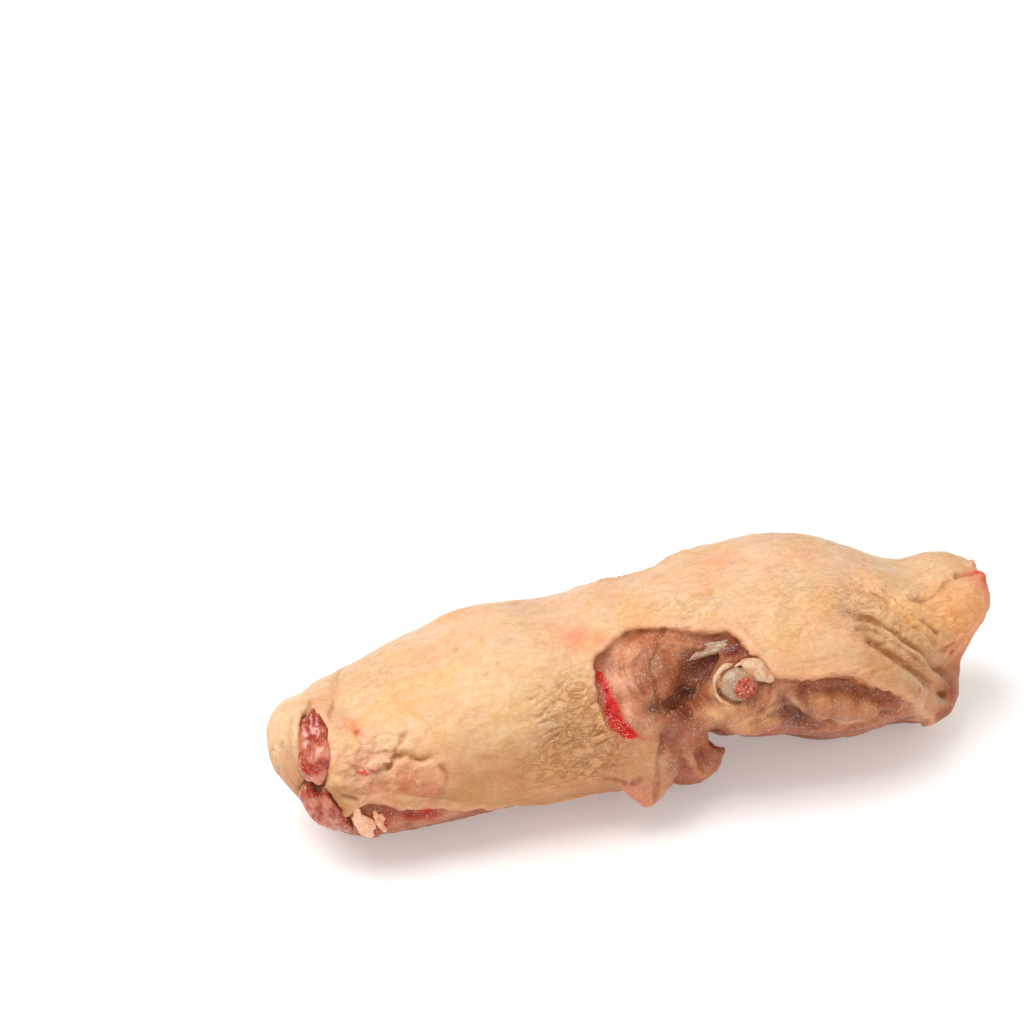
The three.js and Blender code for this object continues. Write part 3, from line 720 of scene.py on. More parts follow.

# %% [markdown]
# Chicken skin over fat is cream where it faces up. Down the sides and underneath it is painted a darker
# straw, partly its own colour and partly painted shade. It is pink where blood shows through, straw yellow at
# the neck and red along the tail's rim, and every crease and wrinkle is painted darker brown as painted shade.
# Each row below is a colour, as red, green and blue from 0 to 255, and the spots it goes on.

# %% Skin colours
CREAM = (216, 181, 144)
SHADED_STRAW = (184, 132, 84)
RIM_RED = (218, 108, 72)
SEAM_SHADE_RED = (150, 70, 46)
CREASE_SHADE_BROWN = (168, 94, 44)
EDGE_PINK = (222, 168, 134)
SKIN_PATCHES = [
    ((222, 134, 108), [(-20.9, -4.4, 51.8, 4.5, 0.8), (-15, -8, 50.5, 3, 0.6),
                       (-87.8, -12.2, 40.2, 4, 0.9), (-94.3, -18, 39, 4, 0.5), (-89, -20, 35, 4, 0.7),
                       (-24, 1, 52, 4, 0.4)]),
    ((222, 162, 128), [(20.7, 6.2, 56, 7, 0.7), (26, 11, 56, 9, 0.6), (54, 4, 57.5, 6, 0.5),
                       (-62, 3, 48.5, 6, 0.5), (-95, 4, 42, 6, 0.4), (22, -16, 54, 7, 0.5),
                       (40, -31, 50, 9, 0.4), (-95, -4, 43, 5, 0.5)]),
    ((200, 122, 88), [(-78, -26.5, 31.8, 5, 0.8), (-72, -28, 29, 4.5, 0.8), (-86, -25, 30, 4, 0.8),
                      (-83, -27, 27, 4, 0.8)]),
    ((176, 86, 58), [(-83.5, -25.5, 30.5, 1.6, 0.7), (-78.5, -27, 30, 1.8, 0.7),
                     (-90, -24.5, 28.5, 1.6, 0.6), (-70.5, -28.5, 27, 1.8, 0.6)]),
    ((228, 178, 146), [(-92, -14, 40, 6, 0.6), (-88, -19, 36, 6, 0.6), (-84, -12, 41, 6, 0.4),
                       (-95, -18, 37, 5, 0.6), (-80, -23, 35, 4, 0.5), (-68, -27.5, 32, 5, 0.5)]),
    ((220, 176, 122), [(-66, -9, 46.7, 13, 0.65), (-76, -8, 43, 8, 0.9), (-20, -22, 46, 9, 0.4),
                       (0, -2, 53, 9, 0.4), (70, -18, 50, 9, 0.6), (84, -15, 40, 8, 0.5),
                       (-50, -14, 48, 12, 0.4), (40, -20, 54, 12, 0.4)]),
    ((176, 122, 72), [(-27, -24, 45, 7, 0.5), (-31, -29, 38, 8, 0.6), (-22, -30, 37, 7, 0.5),
                      (-36, -30, 30, 8, 0.6), (-28, 12, 50, 9, 0.4), (60, -24, 50, 5, 0.5)]),
    ((206, 142, 98), [(98, -13, 37, 8, 0.8), (90, -17, 30, 6, 0.7), (80, -28, 24, 8, 0.6),
                      (-104, -9, 37, 5, 0.3), (62, -32, 42, 8, 0.5), (-106, -12, 31, 4, 0.4)]),
    ((238, 204, 164), [(-107.5, 0, 36, 9, 0.7), (-102, 10, 38, 9, 0.6), (-92, -16, 41, 5, 0.5),
                       (-84, 2, 42, 7, 0.5)]),
    ((240, 176, 112), [(94, -12, 38, 9, 0.75), (101, -9, 40, 6, 0.5), (78, -16, 46, 6, 0.5),
                       (86, -16, 40, 7, 0.5)]),
    ((228, 146, 90), [(97, -13, 28, 6, 0.6), (101, -12, 33, 4, 0.5)]),
    ((212, 162, 112), [(-36, -33, 24, 9, 0.7), (-24, -33, 25, 7, 0.7), (-50, -31, 24, 8, 0.3)]),
    ((232, 194, 164), [(-54, 14, 50, 14, 0.5), (-20, 14, 52, 14, 0.6), (10, 12, 55, 12, 0.5),
                       (40, 8, 57, 12, 0.5), (64, 2, 55, 9, 0.5), (-40, 10, 51, 10, 0.5)]),
    ((246, 198, 150), [(68, -7, 52, 6, 0.6), (76, -11, 47, 5, 0.7)]),
    ((142, 58, 16), [(91, -20, 17, 6, 0.9), (88, -25, 12, 5, 0.9), (95, -14, 20, 5, 0.8)]),
    ((192, 136, 98), [(-18, -33, 24, 8, 0.9), (-12, -34, 18, 7, 0.9), (-8, -34.5, 13, 5, 0.9),
                      (-14, -31, 30, 6, 0.9)]),
    ((206, 126, 102), [(-15, -34.5, 17.5, 3.4, 0.8), (-10.5, -35, 14.5, 4.4, 0.9),
                       (-8, -35, 11, 3.4, 0.8)]),
    ((204, 38, 26), [(108.2, -3.4, 43.4, 4.4, 1), (105, -2.4, 45, 2.2, 0.9), (109, -6.5, 39, 2.4, 0.8),
                     (103.5, -11, 32, 1.6, 0.5)]),
    ((218, 96, 66), [(106, -6.5, 39, 4, 0.7), (103, -10, 31, 3.0, 0.5), (98, -13.5, 23, 3.0, 0.5),
                     (102, -3, 44.5, 2, 0.6)]),
    ((188, 106, 44), [(-54.6, 1.4, 50.6, 0.8, 0.8), (-52.9, 10.6, 50.3, 0.7, 0.7),
                      (-33, -4, 52, 0.7, 0.6)]),
]

TAIL_RIM = [(109, -5, 42), (107.5, -9, 37), (104.5, -12, 31), (100, -13.5, 24)]

points = points_of(body)
facing = normals_of(body)
# The skin starts as darker straw and turns cream as it faces up, so sides and underside stay darker: partly the
# skin's own colour, partly painted shade.
paint = np.tile(swatch(*SHADED_STRAW), (len(points), 1))
paint = brushed(paint, CREAM, soft_step(facing[:, 2], 0.0, 1.0))
for colour, spots in SKIN_PATCHES:
    paint = brushed(paint, colour, dabs(points, spots))
wrinkled = dabs(points, WRINKLED)
waning = np.clip(0.65 + drift(points, 5), 0, 1)
creases = np.maximum.reduce([
    crepe(points, 2.6) * (0.2 + 0.6 * wrinkled) * (1 - 0.8 * dabs(points, PEBBLED)),
    0.6 * furrows(points),
    strokes(points, NECK_CREASES + TAIL_CREASES, 0.7) * waning,
    strokes(points, TAIL_FOLDS, 0.7),
])
edge_shade = bell(past_edge(points), -1.0, 1.2) * (1 - dabs(points, FLAP_SPOTS))
paint = brushed(paint, RIM_RED, 0.7 * stroke(points, TAIL_RIM, 1.7))
# The flap's seam and crease, both pushed in, are painted dark red-brown: painted shade.
paint = brushed(paint, SEAM_SHADE_RED, 0.5 * strokes(points, FLAP_CREASES, 0.9))
# Every crease, fold, furrow and fine wrinkle is painted darker brown: painted shade.
paint = brushed(paint, CREASE_SHADE_BROWN, 0.8 * creases)
paint = brushed(paint, EDGE_PINK, 0.6 * edge_shade)
keep_colour(body, "skin_paint", paint)
print("skin painted, mean:", paint.mean(0).round(3))

# %% [markdown]
# The cut flesh is tan along the muscle and pale on the collar and the folds. The hollow and the grooves are
# painted dark brown, and the gap under the skin's edge behind the joint dark red: painted shade. The underside
# is pink brown flesh with streaks of fat.

# %% Flesh colours
FLESH = (166, 98, 62)
FLESH_PATCHES = [
    # Dark brown in the hollow beside the hip muscle: painted shade.
    ((128, 68, 40), [(11, -19, 42, 7, 1), (15, -17, 48, 4, 0.7), (6, -22, 40, 6, 0.8),
                     (1, -28, 38, 4, 0.6)]),
    ((158, 96, 60), [(-2, -20, 47, 6, 0.8), (-5, -27, 42, 4, 0.8), (3, -17, 48, 4, 0.5)]),
    ((186, 116, 76), [(4, -12, 50, 5, 0.8), (-4, -10, 50, 5, 0.8), (-1, -7, 51, 4, 0.7)]),
    ((228, 170, 132), [(-13, -20, 45, 4.5, 0.9), (-13, -27, 40, 4, 0.8), (-9, -13, 49, 4.5, 0.8),
                       (-10, -9, 51, 3, 0.7)]),
    # Near-black red in the groove under the muscle and along the skin's edge above the joint: painted shade.
    ((96, 14, 6), [(13, -21, 40, 2.0, 0.4), (3, -27, 36, 3, 0.9), (20.5, -21.5, 49.5, 3.6, 1),
                   (24, -24, 50, 2.6, 0.9), (28, -28, 48.5, 2.2, 0.7)]),
    ((226, 174, 124), [(12, -31, 36, 4, 0.8), (20, -33, 34, 5, 0.9), (27, -34, 34, 4, 0.8),
                       (29, -33, 40, 3, 0.7), (15, -32, 39, 3, 0.8), (12.5, -29, 43, 2.4, 0.8)]),
    ((190, 116, 72), [(20, -33, 28, 5, 0.8), (28, -33, 28, 5, 0.8)]),
    # Dark brown in the groove behind the joint: painted shade.
    ((96, 34, 16), [(36, -34, 31, 4.5, 1), (32.5, -34.5, 35, 3.0, 1), (41, -34.5, 27, 3, 0.8),
                    (31, -33, 38, 2.2, 0.8)]),
    # Dark red along the gap under the skin's edge behind the joint: painted shade.
    ((106, 18, 3), [(38, -34, 41.4, 2.4, 1), (42, -34, 40.6, 2.2, 1), (46, -34.5, 39.6, 2.4, 1),
                    (50, -34.5, 38.4, 2.4, 1), (54, -35, 36.8, 2.4, 1), (58, -35.5, 35, 2.4, 1),
                    (62, -36, 32.6, 2.3, 1), (66, -36, 30, 2.4, 0.8)]),
    ((206, 146, 98), [(42, -35, 36.4, 3.2, 0.9), (49, -35.5, 34.2, 3.6, 0.9), (56, -36, 31.4, 3.4, 0.8)]),
    ((180, 110, 66), [(50, -34, 24, 5, 0.8), (68, -34, 24, 4, 0.7), (44, -34, 26, 3, 0.6),
                      (60, -34, 24, 4, 0.7)]),
    ((186, 116, 76), [(73, -33, 26, 4, 0.8)]),
    ((154, 92, 64), [(-3, -35, 24, 3, 0.9), (0, -32, 17, 3, 0.9), (-1, -32, 31, 4, 0.8)]),
    ((206, 138, 102), [(5, -29, 20, 5, 0.9), (9, -28, 14, 4, 0.9), (3, -29, 26, 3, 0.7)]),
    ((176, 92, 62), [(6, -29, 28, 3, 0.7), (4, -28, 15, 3, 0.6)]),
    ((142, 58, 16), [(88, -23, 15, 6, 0.9), (92, -19, 17, 5, 0.8), (82, -25, 13, 5, 0.7)]),
    ((206, 152, 112), [(-10, -33, 31, 5, 0.9), (-7, -34, 25, 4, 0.9), (-8, -31, 35, 4, 0.7),
                       (-9, -34, 19, 5, 0.9)]),
    ((154, 64, 22), [(26.4, -30, 24, 5, 0.9), (25, -34.5, 27.5, 3.5, 0.9), (37.7, -32, 24, 3, 0.8),
                     (18, -32, 27, 3, 0.8), (52, -34, 21, 4, 0.7), (66, -34, 20, 4, 0.7),
                     (31, -33, 26, 3.5, 0.8)]),
    ((158, 72, 30), [(12, -22.5, 21, 4.5, 1), (15.5, -24.5, 16, 2.2, 0.9), (13, -20, 26, 5, 1),
                     (2, -22, 8, 5, 0.7)]),
    ((168, 38, 26), [(-77, -28.5, 20, 4, 0.9), (-88, -27, 17, 4, 0.7), (-71, -29, 19.5, 3, 0.9),
                     (-57, -28, 18, 3, 0.9), (-95, -23, 17, 4, 0.7), (-82, -28, 22, 3, 0.6)]),
    ((208, 142, 104), [(-81, -28, 17, 3, 0.7), (-65, -28.5, 18, 4, 0.8), (-91, -26, 20, 3, 0.7),
                       (-74, -29, 15, 3, 0.6)]),
]
UNDER_STREAKS = [
    [(-95, 6, 4), (-60, 3, 2), (-20, 5, 3)], [(-90, -12, 4), (-50, -10, 1), (-18, -12, 3)],
    [(-85, 15, 5), (-45, 16, 2), (-15, 15, 4)], [(5, -8, 4), (40, -6, 2), (85, -3, 4)],
    [(20, 12, 4), (60, 9, 3), (85, 6, 6)],
]

both = folded(points)
# The darker lines in the muscle folds, the deep groove, the collar folds, the gap under the ball and the flap's
# creases are painted shade; the pale lip, the frosted fold and the fat streaks are the flesh's own colour.
FLESH_LINES = [
    ((118, 48, 28), 0.6, both, MUSCLE_FOLDS, 0.6),
    ((76, 26, 14), 0.9, both, [DEEP_GROOVE[:4]], 1.8),
    ((200, 146, 108), 0.6, both, [PALE_LIP], 1.0),
    ((208, 160, 122), 0.85, both, [FROSTED_FOLD], 0.9),
    ((150, 78, 46), 0.7, both, COLLAR_FOLDS, 0.6),
    ((56, 20, 12), 1.0, both, [BALL_GAP], 0.8),
    ((140, 76, 50), 0.7, points, FLAP_CREASES, 1.0),
] + [((220, 182, 146), 0.7, points, [line], 2.2) for line in UNDER_STREAKS]

paint = np.tile(swatch(*FLESH), (len(points), 1))
for colour, spots in FLESH_PATCHES:
    paint = brushed(paint, colour, dabs(both, spots))
for colour, share, where, lines, width in FLESH_LINES:
    paint = brushed(paint, colour, share * strokes(where, lines, width))
keep_colour(body, "flesh_paint", paint)
keep_mask(body, "past_edge", past_edge(points))
print("flesh painted, mean:", paint.mean(0).round(3))

# %% [markdown]
# The last masks: a bright crescent and a few drops of blood, frost in a thin bloom over the flesh and in
# flecks on the skin, where the white flecks are also painted glints, the wrinkled places again for the finest
# lines, which are painted darker as painted shade, and the flap, where skin fades softly into flesh.

# %% Blood, frost and wrinkles
CRESCENT = [(-17.6, -16.4, 46.4), (-17.3, -20.9, 44.3), (-17.2, -25.8, 40.3), (-15.9, -29.1, 36.6),
            (-13, -31.5, 33.5)]
BLOOD_LINES = [
    [(66, -36, 31.5), (69, -35.4, 30.5)], [(82, -26, 15), (84.5, -25.5, 14)],
    [(-90, -22, 35), (-87.5, -22.8, 33.5)], [(-13.6, -35, 20.4), (-11.8, -35.2, 20.9)],
]
BLOOD_SPOTS = [
    (91.8, -16.8, 28.6, 1.1, 1), (84, -22, 34, 0.8, 0.8), (6.3, -28.5, 16.1, 1.8, 0.75),
    (4, -29.5, 21, 1.4, 0.7), (74.5, -32.1, 30.3, 1.3, 0.6), (-72.8, -28.8, 21, 2, 0.9),
    (-84, -28, 19, 2, 0.8), (-79.5, -25, 33.3, 1.2, 0.3), (22, -19, 51, 1.2, 0.6),
    (-87.8, -12.2, 40.2, 1.5, 0.55),
]
FROSTED = [
    (-3, -17, 48, 6, 0.7), (-7, -26, 42, 6, 0.6), (-13, -32, 27, 5, 0.5), (-3, -33, 23, 5, 1),
    (2, -30, 14, 5, 0.9), (36, -33, 29, 6, 0.8), (48, -34, 27, 7, 0.7), (60, -35, 25, 7, 0.6),
    (47, -35, 37, 4, 0.6), (75, -30, 21, 6, 0.6), (-78, -28, 25, 6, 0.9), (-70, -29, 26, 5, 0.8),
    (-90, -25, 30, 6, 0.7), (11, -17, 47, 3, 0.6), (-31, -29, 37, 9, 0.6), (-24, -31, 31, 8, 0.7),
    (-100, -14, 41, 4, 0.6), (16, -19, 49, 4, 0.8), (4, -24, 41, 6, 0.6), (22, -33, 36, 5, 0.5),
    (-17, -28, 38, 5, 0.7), (-21, -20, 46, 4, 0.6), (-84, -27, 29, 5, 0.7), (86, -22, 22, 5, 0.5),
    (-6, -35.5, 23, 4, 0.9), (-7, -35.5, 16, 4, 0.8), (10, -20, 43, 7, 0.9), (4, -16, 49, 6, 0.7),
    (24, -34, 32, 6, 0.7), (-7, -33, 26, 4, 0.9), (64, -35, 26, 6, 0.8),
]

deepness = soft_step(past_edge(points), -1.0, 0.5)
blood = stroke(both, CRESCENT, 1.4) * deepness + stroke(both, CRESCENT[2:], 2.4) * deepness
blood = np.maximum(blood, strokes(points, BLOOD_LINES, 0.7))
keep_mask(body, "blood", np.maximum(np.clip(blood, 0, 1), dabs(points, BLOOD_SPOTS)))
frosty = np.maximum(dabs(both, FROSTED), stroke(both, FROSTED_FOLD, 0.9))
keep_mask(body, "frost", np.maximum(frosty, 0.3 * soft_step(past_edge(points), 0, 2)))
keep_mask(body, "wrinkled", wrinkled)
keep_mask(body, "soft_edge", dabs(points, FLAP_SPOTS))
print("bloody points:", int((blood > 0.5).sum()))

# %% [markdown]
# A shader node has its own settings and sockets. `add` makes one, sets it, and joins or fills its sockets
# in one line, so that a finish can be read from top to bottom. A group is built once with `group`, and
# `placed` puts it in a finish with that finish's own numbers, in millimetres.

# %% Node helpers
def add(tree, kind, sockets=(), **settings):
    node = tree.nodes.new("ShaderNode" + kind)
    for key, value in settings.items():
        setattr(node, key, value)
    for key, value in dict(sockets).items():
        if isinstance(value, bpy.types.NodeSocket):
            tree.links.new(value, node.inputs[key])
        else:
            node.inputs[key].default_value = value
    return node


def blend(tree, share, first, second, way="MIX"):
    return add(tree, "Mix", {0: share, 6: first, 7: second}, data_type="RGBA", blend_type=way).outputs[2]


def calc(tree, how, first, second=0.0):
    return add(tree, "Math", {0: first, 1: second}, operation=how).outputs[0]


def ranged(tree, value, low, high, first=0.0, last=1.0):
    sockets = {"Value": value, "From Min": low, "From Max": high, "To Min": first, "To Max": last}
    return add(tree, "MapRange", sockets, interpolation_type="SMOOTHSTEP").outputs[0]


def stored(tree, name, colour=False):
    return add(tree, "Attribute", attribute_name=name).outputs["Color" if colour else "Fac"]


def noise(tree, size_mm, detail=3.0, stretch=(1, 1, 1), warp=0.0):
    place = add(tree, "TexCoord").outputs["Object"]
    scaled = add(tree, "Mapping", {"Vector": place, "Scale": stretch}).outputs[0]
    if isinstance(size_mm, float):
        per_metre = 1.0 / MM / size_mm
    else:
        per_metre = calc(tree, "DIVIDE", 1.0 / MM, size_mm)
    sockets = {"Vector": scaled, "Scale": per_metre, "Detail": detail, "Distortion": warp}
    return add(tree, "TexNoise", sockets).outputs[0]


def group(name, ins, outs):
    tree = bpy.data.node_groups.new(name, "ShaderNodeTree")
    for title, value in ins.items():
        kind = "NodeSocketColor" if isinstance(value, tuple) else "NodeSocketFloat"
        tree.interface.new_socket(title, in_out="INPUT", socket_type=kind).default_value = value
    for title, kind in outs.items():
        tree.interface.new_socket(title, in_out="OUTPUT", socket_type="NodeSocket" + kind)
    return tree, tree.nodes.new("NodeGroupInput").outputs, tree.nodes.new("NodeGroupOutput").inputs


def placed(tree, built, sockets):
    return add(tree, "Group", sockets, node_tree=built).outputs


def linear(red, green, blue):
    return (*(float(c) for c in swatch(red, green, blue)), 1.0)


print("the skin's cream as a node colour:", [round(c, 2) for c in linear(*CREAM)])

# %% [markdown]
# Nothing raw is one colour. `mottled` tints a colour in soft patches, so it is used several times over with
# different sizes and tints. `ice` makes the small white crystals of frozen meat: cells shaken out of round
# by noise, in banks, each crystal with a strength of its own. `ragged` turns a distance in millimetres into
# a mask with a torn edge, and `creased` gives fine wrinkles that run along the back.

# %% Groups of nodes
mottled, got, give = group(
    "mottled", {"Colour": (0.5, 0.5, 0.5, 1.0), "Tint": (1.0, 0.9, 0.8, 1.0), "Size": 6.0, "Share": 0.5},
    {"Colour": "Color"})
patches = ranged(mottled, noise(mottled, got["Size"], 4.0), 0.44, 0.66)
tinted = blend(mottled, 1.0, got["Colour"], got["Tint"], "MULTIPLY")
mottled.links.new(blend(mottled, calc(mottled, "MULTIPLY", patches, got["Share"]), got["Colour"], tinted),
                  give["Colour"])

CRUMB_MM = 0.5
SHAKE_MM = 0.7
ice, got, give = group("ice", {"Size": 0.8, "Amount": 0.5}, {"Mask": "Float"})
place = add(ice, "TexCoord").outputs["Object"]
crumbled = add(ice, "TexNoise", {"Vector": place, "Scale": 1.0 / (CRUMB_MM * MM), "Detail": 1.0}).outputs[1]
shaken = add(ice, "VectorMath", {0: crumbled, 1: (SHAKE_MM * MM,) * 3}, operation="MULTIPLY").outputs[0]
place = add(ice, "VectorMath", {0: place, 1: shaken}, operation="ADD").outputs[0]
per_metre = calc(ice, "DIVIDE", 1.0 / MM, got["Size"])
cells = add(ice, "TexVoronoi", {"Vector": place, "Scale": per_metre}).outputs
banks = ranged(ice, noise(ice, calc(ice, "MULTIPLY", got["Size"], 8.0), 4.0), 0.36, 0.64, 0.15, 1.0)
lots = add(ice, "SeparateColor", {0: cells["Color"]}).outputs
chosen = calc(ice, "LESS_THAN", lots[0], calc(ice, "MULTIPLY", got["Amount"], banks))
grain = calc(ice, "MULTIPLY", ranged(ice, cells["Distance"], 0.5, 0.24),
             ranged(ice, lots[1], 0.0, 1.0, 0.25, 1.0))
ice.links.new(calc(ice, "MULTIPLY", chosen, grain), give["Mask"])

ragged, got, give = group("ragged", {"Distance": 0.0, "Size": 2.0, "Reach": 1.0, "Softness": 0.3},
                          {"Mask": "Float"})
torn = calc(ragged, "MULTIPLY", calc(ragged, "SUBTRACT", noise(ragged, got["Size"], 5.0), 0.5),
            got["Reach"])
moved = calc(ragged, "ADD", got["Distance"], torn)
half = calc(ragged, "DIVIDE", moved, got["Softness"])
ragged.links.new(ranged(ragged, half, -1.0, 1.0), give["Mask"])

creased, got, give = group("creased", {"Size": 2.0}, {"Height": "Float"})
folds = noise(creased, got["Size"], 3.0, (0.55, 1, 1.1), 0.6)
ridged = calc(creased, "ABSOLUTE", calc(creased, "SUBTRACT", folds, 0.5))
creased.links.new(ranged(creased, ridged, 0.0, 0.09), give["Height"])
print("groups:", [g.name for g in bpy.data.node_groups])

# %% [markdown]
# Skin and flesh share one finish, split along the torn edge, which is soft on the flap. Skin is a little
# waxy and flesh moist. Pale flecks lie on both: frost crystals, and on the skin also painted glints. The skin's
# fine wrinkle lines are painted darker: painted shade. Light goes a little way into all of it, so the shader's
# subsurface share is on. The same number all over is set on the shader's own socket.

# %% Skin and flesh
RED_GOES_DEEPEST = (1.0, 0.45, 0.25)
COAT_ROUGHNESS = 0.15
SHINE = 0.25


def finish(name):
    made = bpy.data.materials.new(name)
    made.use_nodes = True
    return made, made.node_tree, made.node_tree.nodes["Principled BSDF"]


def wet(shader, share, radius_mm, coat):
    settings = {
        "Subsurface Weight": share, "Subsurface Scale": radius_mm * MM, "Subsurface Radius": RED_GOES_DEEPEST,
        "Coat Weight": coat, "Coat Roughness": COAT_ROUGHNESS, "Specular IOR Level": SHINE,
    }
    for key, value in settings.items():
        shader.inputs[key].default_value = value


def bumped(tree, shader, height, distance_mm, strength):
    bump = add(tree, "Bump", {"Height": height, "Distance": distance_mm * MM, "Strength": strength})
    tree.links.new(bump.outputs[0], shader.inputs["Normal"])


def tints(tree, colour, rows):
    for tint, size_mm, share in rows:
        sockets = {"Colour": colour, "Tint": (*tint, 1.0), "Size": size_mm, "Share": share}
        colour = placed(tree, mottled, sockets)[0]
    return colour


CREASE_SHADE_TINT = (0.62, 0.44, 0.26, 1.0)
BLOOD_RED = (192, 20, 9)
BLOOM_GREY = (206, 170, 140)
FROST_AND_GLINT_WHITE = (240, 216, 190)

skin_finish, tree, shader = finish("skin_and_flesh_finish")
softness = calc(tree, "ADD", calc(tree, "MULTIPLY", stored(tree, "soft_edge"), 5.0), 0.3)
flesh_mask = placed(tree, ragged, {
    "Distance": stored(tree, "past_edge"), "Size": 1.6, "Reach": 1.2, "Softness": softness})[0]
fine_lines = placed(tree, creased, {"Size": 2.4})[0]
line_share = calc(tree, "ADD", calc(tree, "MULTIPLY", stored(tree, "wrinkled"), 0.6), 0.16)
crease_shade_mask = calc(tree, "MULTIPLY", calc(tree, "SUBTRACT", 1.0, fine_lines), line_share)
skin_colour = tints(tree, stored(tree, "skin_paint", True), [
    ((1.0, 0.86, 0.80), 15.0, 0.7), ((1.0, 0.96, 0.76), 9.0, 0.6), ((0.9, 0.82, 0.7), 3.1, 0.45),
    ((1.0, 0.84, 0.74), 1.3, 0.4)])
# The fine wrinkle lines are darkened: painted shade.
skin_colour = blend(tree, crease_shade_mask, skin_colour, blend(tree, 1.0, skin_colour, CREASE_SHADE_TINT, "MULTIPLY"))
flesh_colour = tints(tree, stored(tree, "flesh_paint", True), [
    ((0.76, 0.54, 0.44), 5.0, 0.6), ((0.8, 0.74, 0.68), 2.6, 0.5), ((0.82, 0.54, 0.44), 1.1, 0.5)])
colour = blend(tree, flesh_mask, skin_colour, flesh_colour)
blood_level = calc(tree, "MULTIPLY", calc(tree, "SUBTRACT", stored(tree, "blood"), 0.45), 3.0)
blood_mask = placed(tree, ragged, {"Distance": blood_level, "Size": 1.8, "Reach": 2.4, "Softness": 1.2})[0]
blood_colour = tints(tree, linear(*BLOOD_RED), [((0.62, 0.34, 0.3), 2.4, 0.7), ((1.0, 0.6, 0.6), 0.9, 0.4)])
colour = blend(tree, blood_mask, colour, blood_colour)
frost = stored(tree, "frost")
# White ice flecks: frost crystals on the flesh, and on the skin also painted glints.
amount = calc(tree, "ADD", calc(tree, "MULTIPLY", flesh_mask, 0.25), 0.07)
frost_and_glints = placed(tree, ice, {"Size": 0.5, "Amount": calc(tree, "ADD", frost, amount)})[0]
bloom = calc(tree, "MULTIPLY", frost, ranged(tree, noise(tree, 2.2, 5.0), 0.48, 0.72))
colour = blend(tree, calc(tree, "MULTIPLY", bloom, 0.12), colour, linear(*BLOOM_GREY))
colour = blend(tree, calc(tree, "MULTIPLY", frost_and_glints, 0.72), colour, linear(*FROST_AND_GLINT_WHITE))
roughness = calc(tree, "SUBTRACT", 0.44, calc(tree, "MULTIPLY", flesh_mask, 0.04))
tree.links.new(colour, shader.inputs["Base Color"])
tree.links.new(roughness, shader.inputs["Roughness"])

pores = calc(tree, "ADD", noise(tree, 1.6, 4.0), calc(tree, "MULTIPLY", noise(tree, 0.6, 2.0), 0.5))
height = calc(tree, "MULTIPLY", fine_lines, line_share)
height = calc(tree, "ADD", calc(tree, "MULTIPLY", height, 0.5), calc(tree, "MULTIPLY", pores, 0.45))
height = calc(tree, "ADD", height, calc(tree, "MULTIPLY", frost_and_glints, 0.4))
bumped(tree, shader, height, 0.5, 1.0)
wet(shader, 0.1, 0.9, 0.1)
body.data.materials.clear()
body.data.materials.append(skin_finish)
print("finish:", skin_finish.name, len(tree.nodes), "nodes")

# %% [markdown]
# Small pieces come next, each from strands and lumps melted together: a fine remesh, a little smoothing,
# and a cloud texture so that nothing is as even as a machined part.

# %% Melting small pieces
def melted(name, parts, voxel_mm, smooth, rough_mm, texture):
    piece = parts[0]
    if len(parts) > 1:
        joined(piece, parts[1:])
    piece.name = name
    applied(piece, "REMESH", mode="VOXEL", voxel_size=voxel_mm * MM)
    applied(piece, "SMOOTH", factor=0.5, iterations=smooth)
    applied(piece, "DISPLACE", strength=rough_mm * MM, texture=texture, texture_coords="LOCAL",
            mid_level=0.5)
    bpy.ops.object.shade_smooth()
    return piece


print("lumps on small pieces are", round(small_lumps.noise_scale / MM, 1), "mm across")

# %% [markdown]
# Each hip joint shows the head of the thigh bone, cut through: a pearly ball, the pink spongy marrow in it,
# a thick flap of white cartilage over the top and a thin white ring round the rest. Above the near joint a
# pale membrane hangs in the hollow in three leaves. All of them are placed from the joint's centre, except
# the membrane.

# %% Hip joints
RIM_STEPS = [(112, 6.4), (84, 6.9), (55, 7.6), (28, 8.2), (5, 8.4)]
RING_STEPS = [(238, 6.3), (208, 6.8), (175, 6.9), (145, 6.4), (112, 6.0), (80, 6.4)]
MEMBRANE = [(8.2, -16.6, 45.2), (12, -17, 46.6), (15.6, -18.2, 47.8), (19.8, -20, 49.4)]
MEMBRANE_LEAVES = 3
LEAF_SHIFT = np.array((0.2, 0.9, 0.8))


def hip_joint(side):
    head = lump("ball", beside(side, -2.0, 1.2, 0.2), (5.6, 4.8, 3.2), turned(side, -8))
    ball = melted("hip_ball_" + side, [head], 0.35, 2, 0.35, small_lumps)
    pulp = lump("pulp", beside(side, -0.9, 0, 2.2), (3.6, 3.3, 1.5), turned(side, 0))
    marrow = melted("marrow_" + side, [pulp], 0.22, 1, 1.3, clouds("crumbs_" + side, 1.2, 3))
    lobes = [
        lump("flap", beside(side, 3.8, 3.8, 1.9), (4.9, 2.5, 1.5), turned(side, -38)),
        lump("flap", beside(side, 6.6, 1.9, 1.6), (2.2, 1.9, 1.2), turned(side, -60)),
        strand("rim", around(side, RIM_STEPS, 0.8), [0.4, 0.9, 1.1, 1.0, 0.5]),
    ]
    flap = melted("cartilage_flap_" + side, lobes, 0.3, 3, 1.1, small_lumps)
    band = strand("ring", around(side, RING_STEPS, 0.6, -2.0, 1.2), [0.3, 0.8, 0.6, 0.9, 1.1, 0.4])
    ring = melted("cartilage_ring_" + side, [band], 0.3, 3, 0.9, small_lumps)
    return ball, marrow, flap, ring


